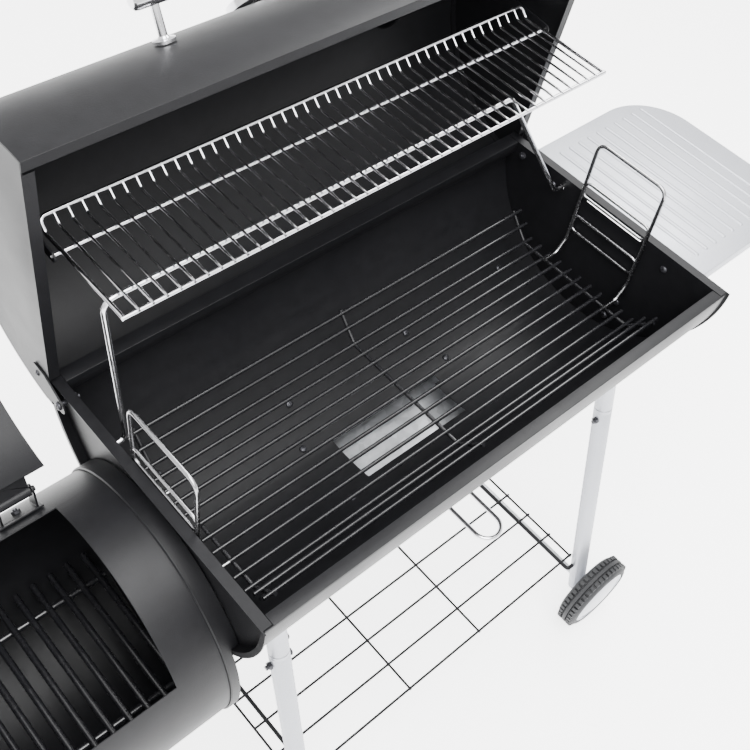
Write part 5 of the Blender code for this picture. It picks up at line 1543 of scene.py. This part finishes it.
class GRILL_OT_warming_rack(bpy.types.Operator):
    """Build the warming rack and the bent wire that carries it"""

    bl_idname = "grill.warming_rack"
    bl_label = "Warming rack"

    def execute(self, context):
        build_rack()
        build_rack_legs()
        return {"FINISHED"}


class GRILL_OT_firebox(bpy.types.Operator):
    """Build the side firebox with its ends, air disc, grate and hinges"""

    bl_idname = "grill.firebox"
    bl_label = "Firebox"

    def execute(self, context):
        build_firebox_shell()
        build_firebox_ends()
        build_firebox_grate()
        build_firebox_hinges()
        return {"FINISHED"}


class GRILL_OT_firebox_lid(bpy.types.Operator):
    """Build the firebox's lid and its handle"""

    bl_idname = "grill.firebox_lid"
    bl_label = "Firebox lid"

    def execute(self, context):
        build_firebox_lid()
        build_firebox_lid_handle()
        return {"FINISHED"}


class GRILL_OT_legs(bpy.types.Operator):
    """Build the legs, their bolts and feet, and the tool hook"""

    bl_idname = "grill.legs"
    bl_label = "Legs"

    def execute(self, context):
        for corner, side_x, side_y in CORNERS:
            build_leg(corner, side_x, side_y)
        build_foot("front", -1)
        build_foot("rear", 1)
        build_hook()
        return {"FINISHED"}


class GRILL_OT_wheels(bpy.types.Operator):
    """Build the wheels and their axle"""

    bl_idname = "grill.wheels"
    bl_label = "Wheels"

    def execute(self, context):
        build_wheel("front", -1)
        build_wheel("rear", 1)
        build_axle()
        return {"FINISHED"}


class GRILL_OT_shelves(bpy.types.Operator):
    """Build the side shelf with its brackets, and the bottom shelf"""

    bl_idname = "grill.shelves"
    bl_label = "Shelves"

    def execute(self, context):
        build_side_shelf()
        build_bottom_shelf()
        return {"FINISHED"}


class GRILL_OT_ash_pan(bpy.types.Operator):
    """Build the ash pan and its rails"""

    bl_idname = "grill.ash_pan"
    bl_label = "Ash pan"

    def execute(self, context):
        build_pan_rail("left", -1)
        build_pan_rail("right", 1)
        build_pan()
        return {"FINISHED"}


class GRILL_OT_stage(bpy.types.Operator):
    """Build the floor, the lights and the camera"""

    bl_idname = "grill.stage"
    bl_label = "Stage"

    def execute(self, context):
        build_floor()
        build_lights()
        build_camera()
        return {"FINISHED"}


OPERATORS = (
    GRILL_OT_barrel, GRILL_OT_lid, GRILL_OT_lid_fittings, GRILL_OT_charcoal_grate, GRILL_OT_warming_rack,
    GRILL_OT_firebox, GRILL_OT_firebox_lid, GRILL_OT_legs, GRILL_OT_wheels, GRILL_OT_shelves,
    GRILL_OT_ash_pan, GRILL_OT_stage)


class GRILL_PT_pieces(bpy.types.Panel):
    """Sizes, colours and a button for each group of pieces"""

    bl_label = "Barrel grill"
    bl_space_type = "VIEW_3D"
    bl_region_type = "UI"
    bl_category = "Grill"

    def draw(self, context):
        for group in (context.scene.grill_sizes, context.scene.grill_colours):
            for name in group.__annotations__:
                self.layout.prop(group, name)
        for operator in OPERATORS:
            self.layout.operator(operator.bl_idname)


CLASSES = (GrillSizes, GrillColours, *OPERATORS, GRILL_PT_pieces)


def register():
    for kind in CLASSES:
        bpy.utils.register_class(kind)
    bpy.types.Scene.grill_sizes = PointerProperty(type=GrillSizes)
    bpy.types.Scene.grill_colours = PointerProperty(type=GrillColours)


def unregister():
    del bpy.types.Scene.grill_colours
    del bpy.types.Scene.grill_sizes
    for kind in reversed(CLASSES):
        bpy.utils.unregister_class(kind)


def main():
    """Build every piece and the stage."""
    register()
    bpy.ops.grill.barrel()
    bpy.ops.grill.lid()
    bpy.ops.grill.lid_fittings()
    bpy.ops.grill.charcoal_grate()
    bpy.ops.grill.warming_rack()
    bpy.ops.grill.firebox()
    bpy.ops.grill.firebox_lid()
    bpy.ops.grill.legs()
    bpy.ops.grill.wheels()
    bpy.ops.grill.shelves()
    bpy.ops.grill.ash_pan()
    bpy.ops.grill.stage()


if __name__ == "__main__":
    main()
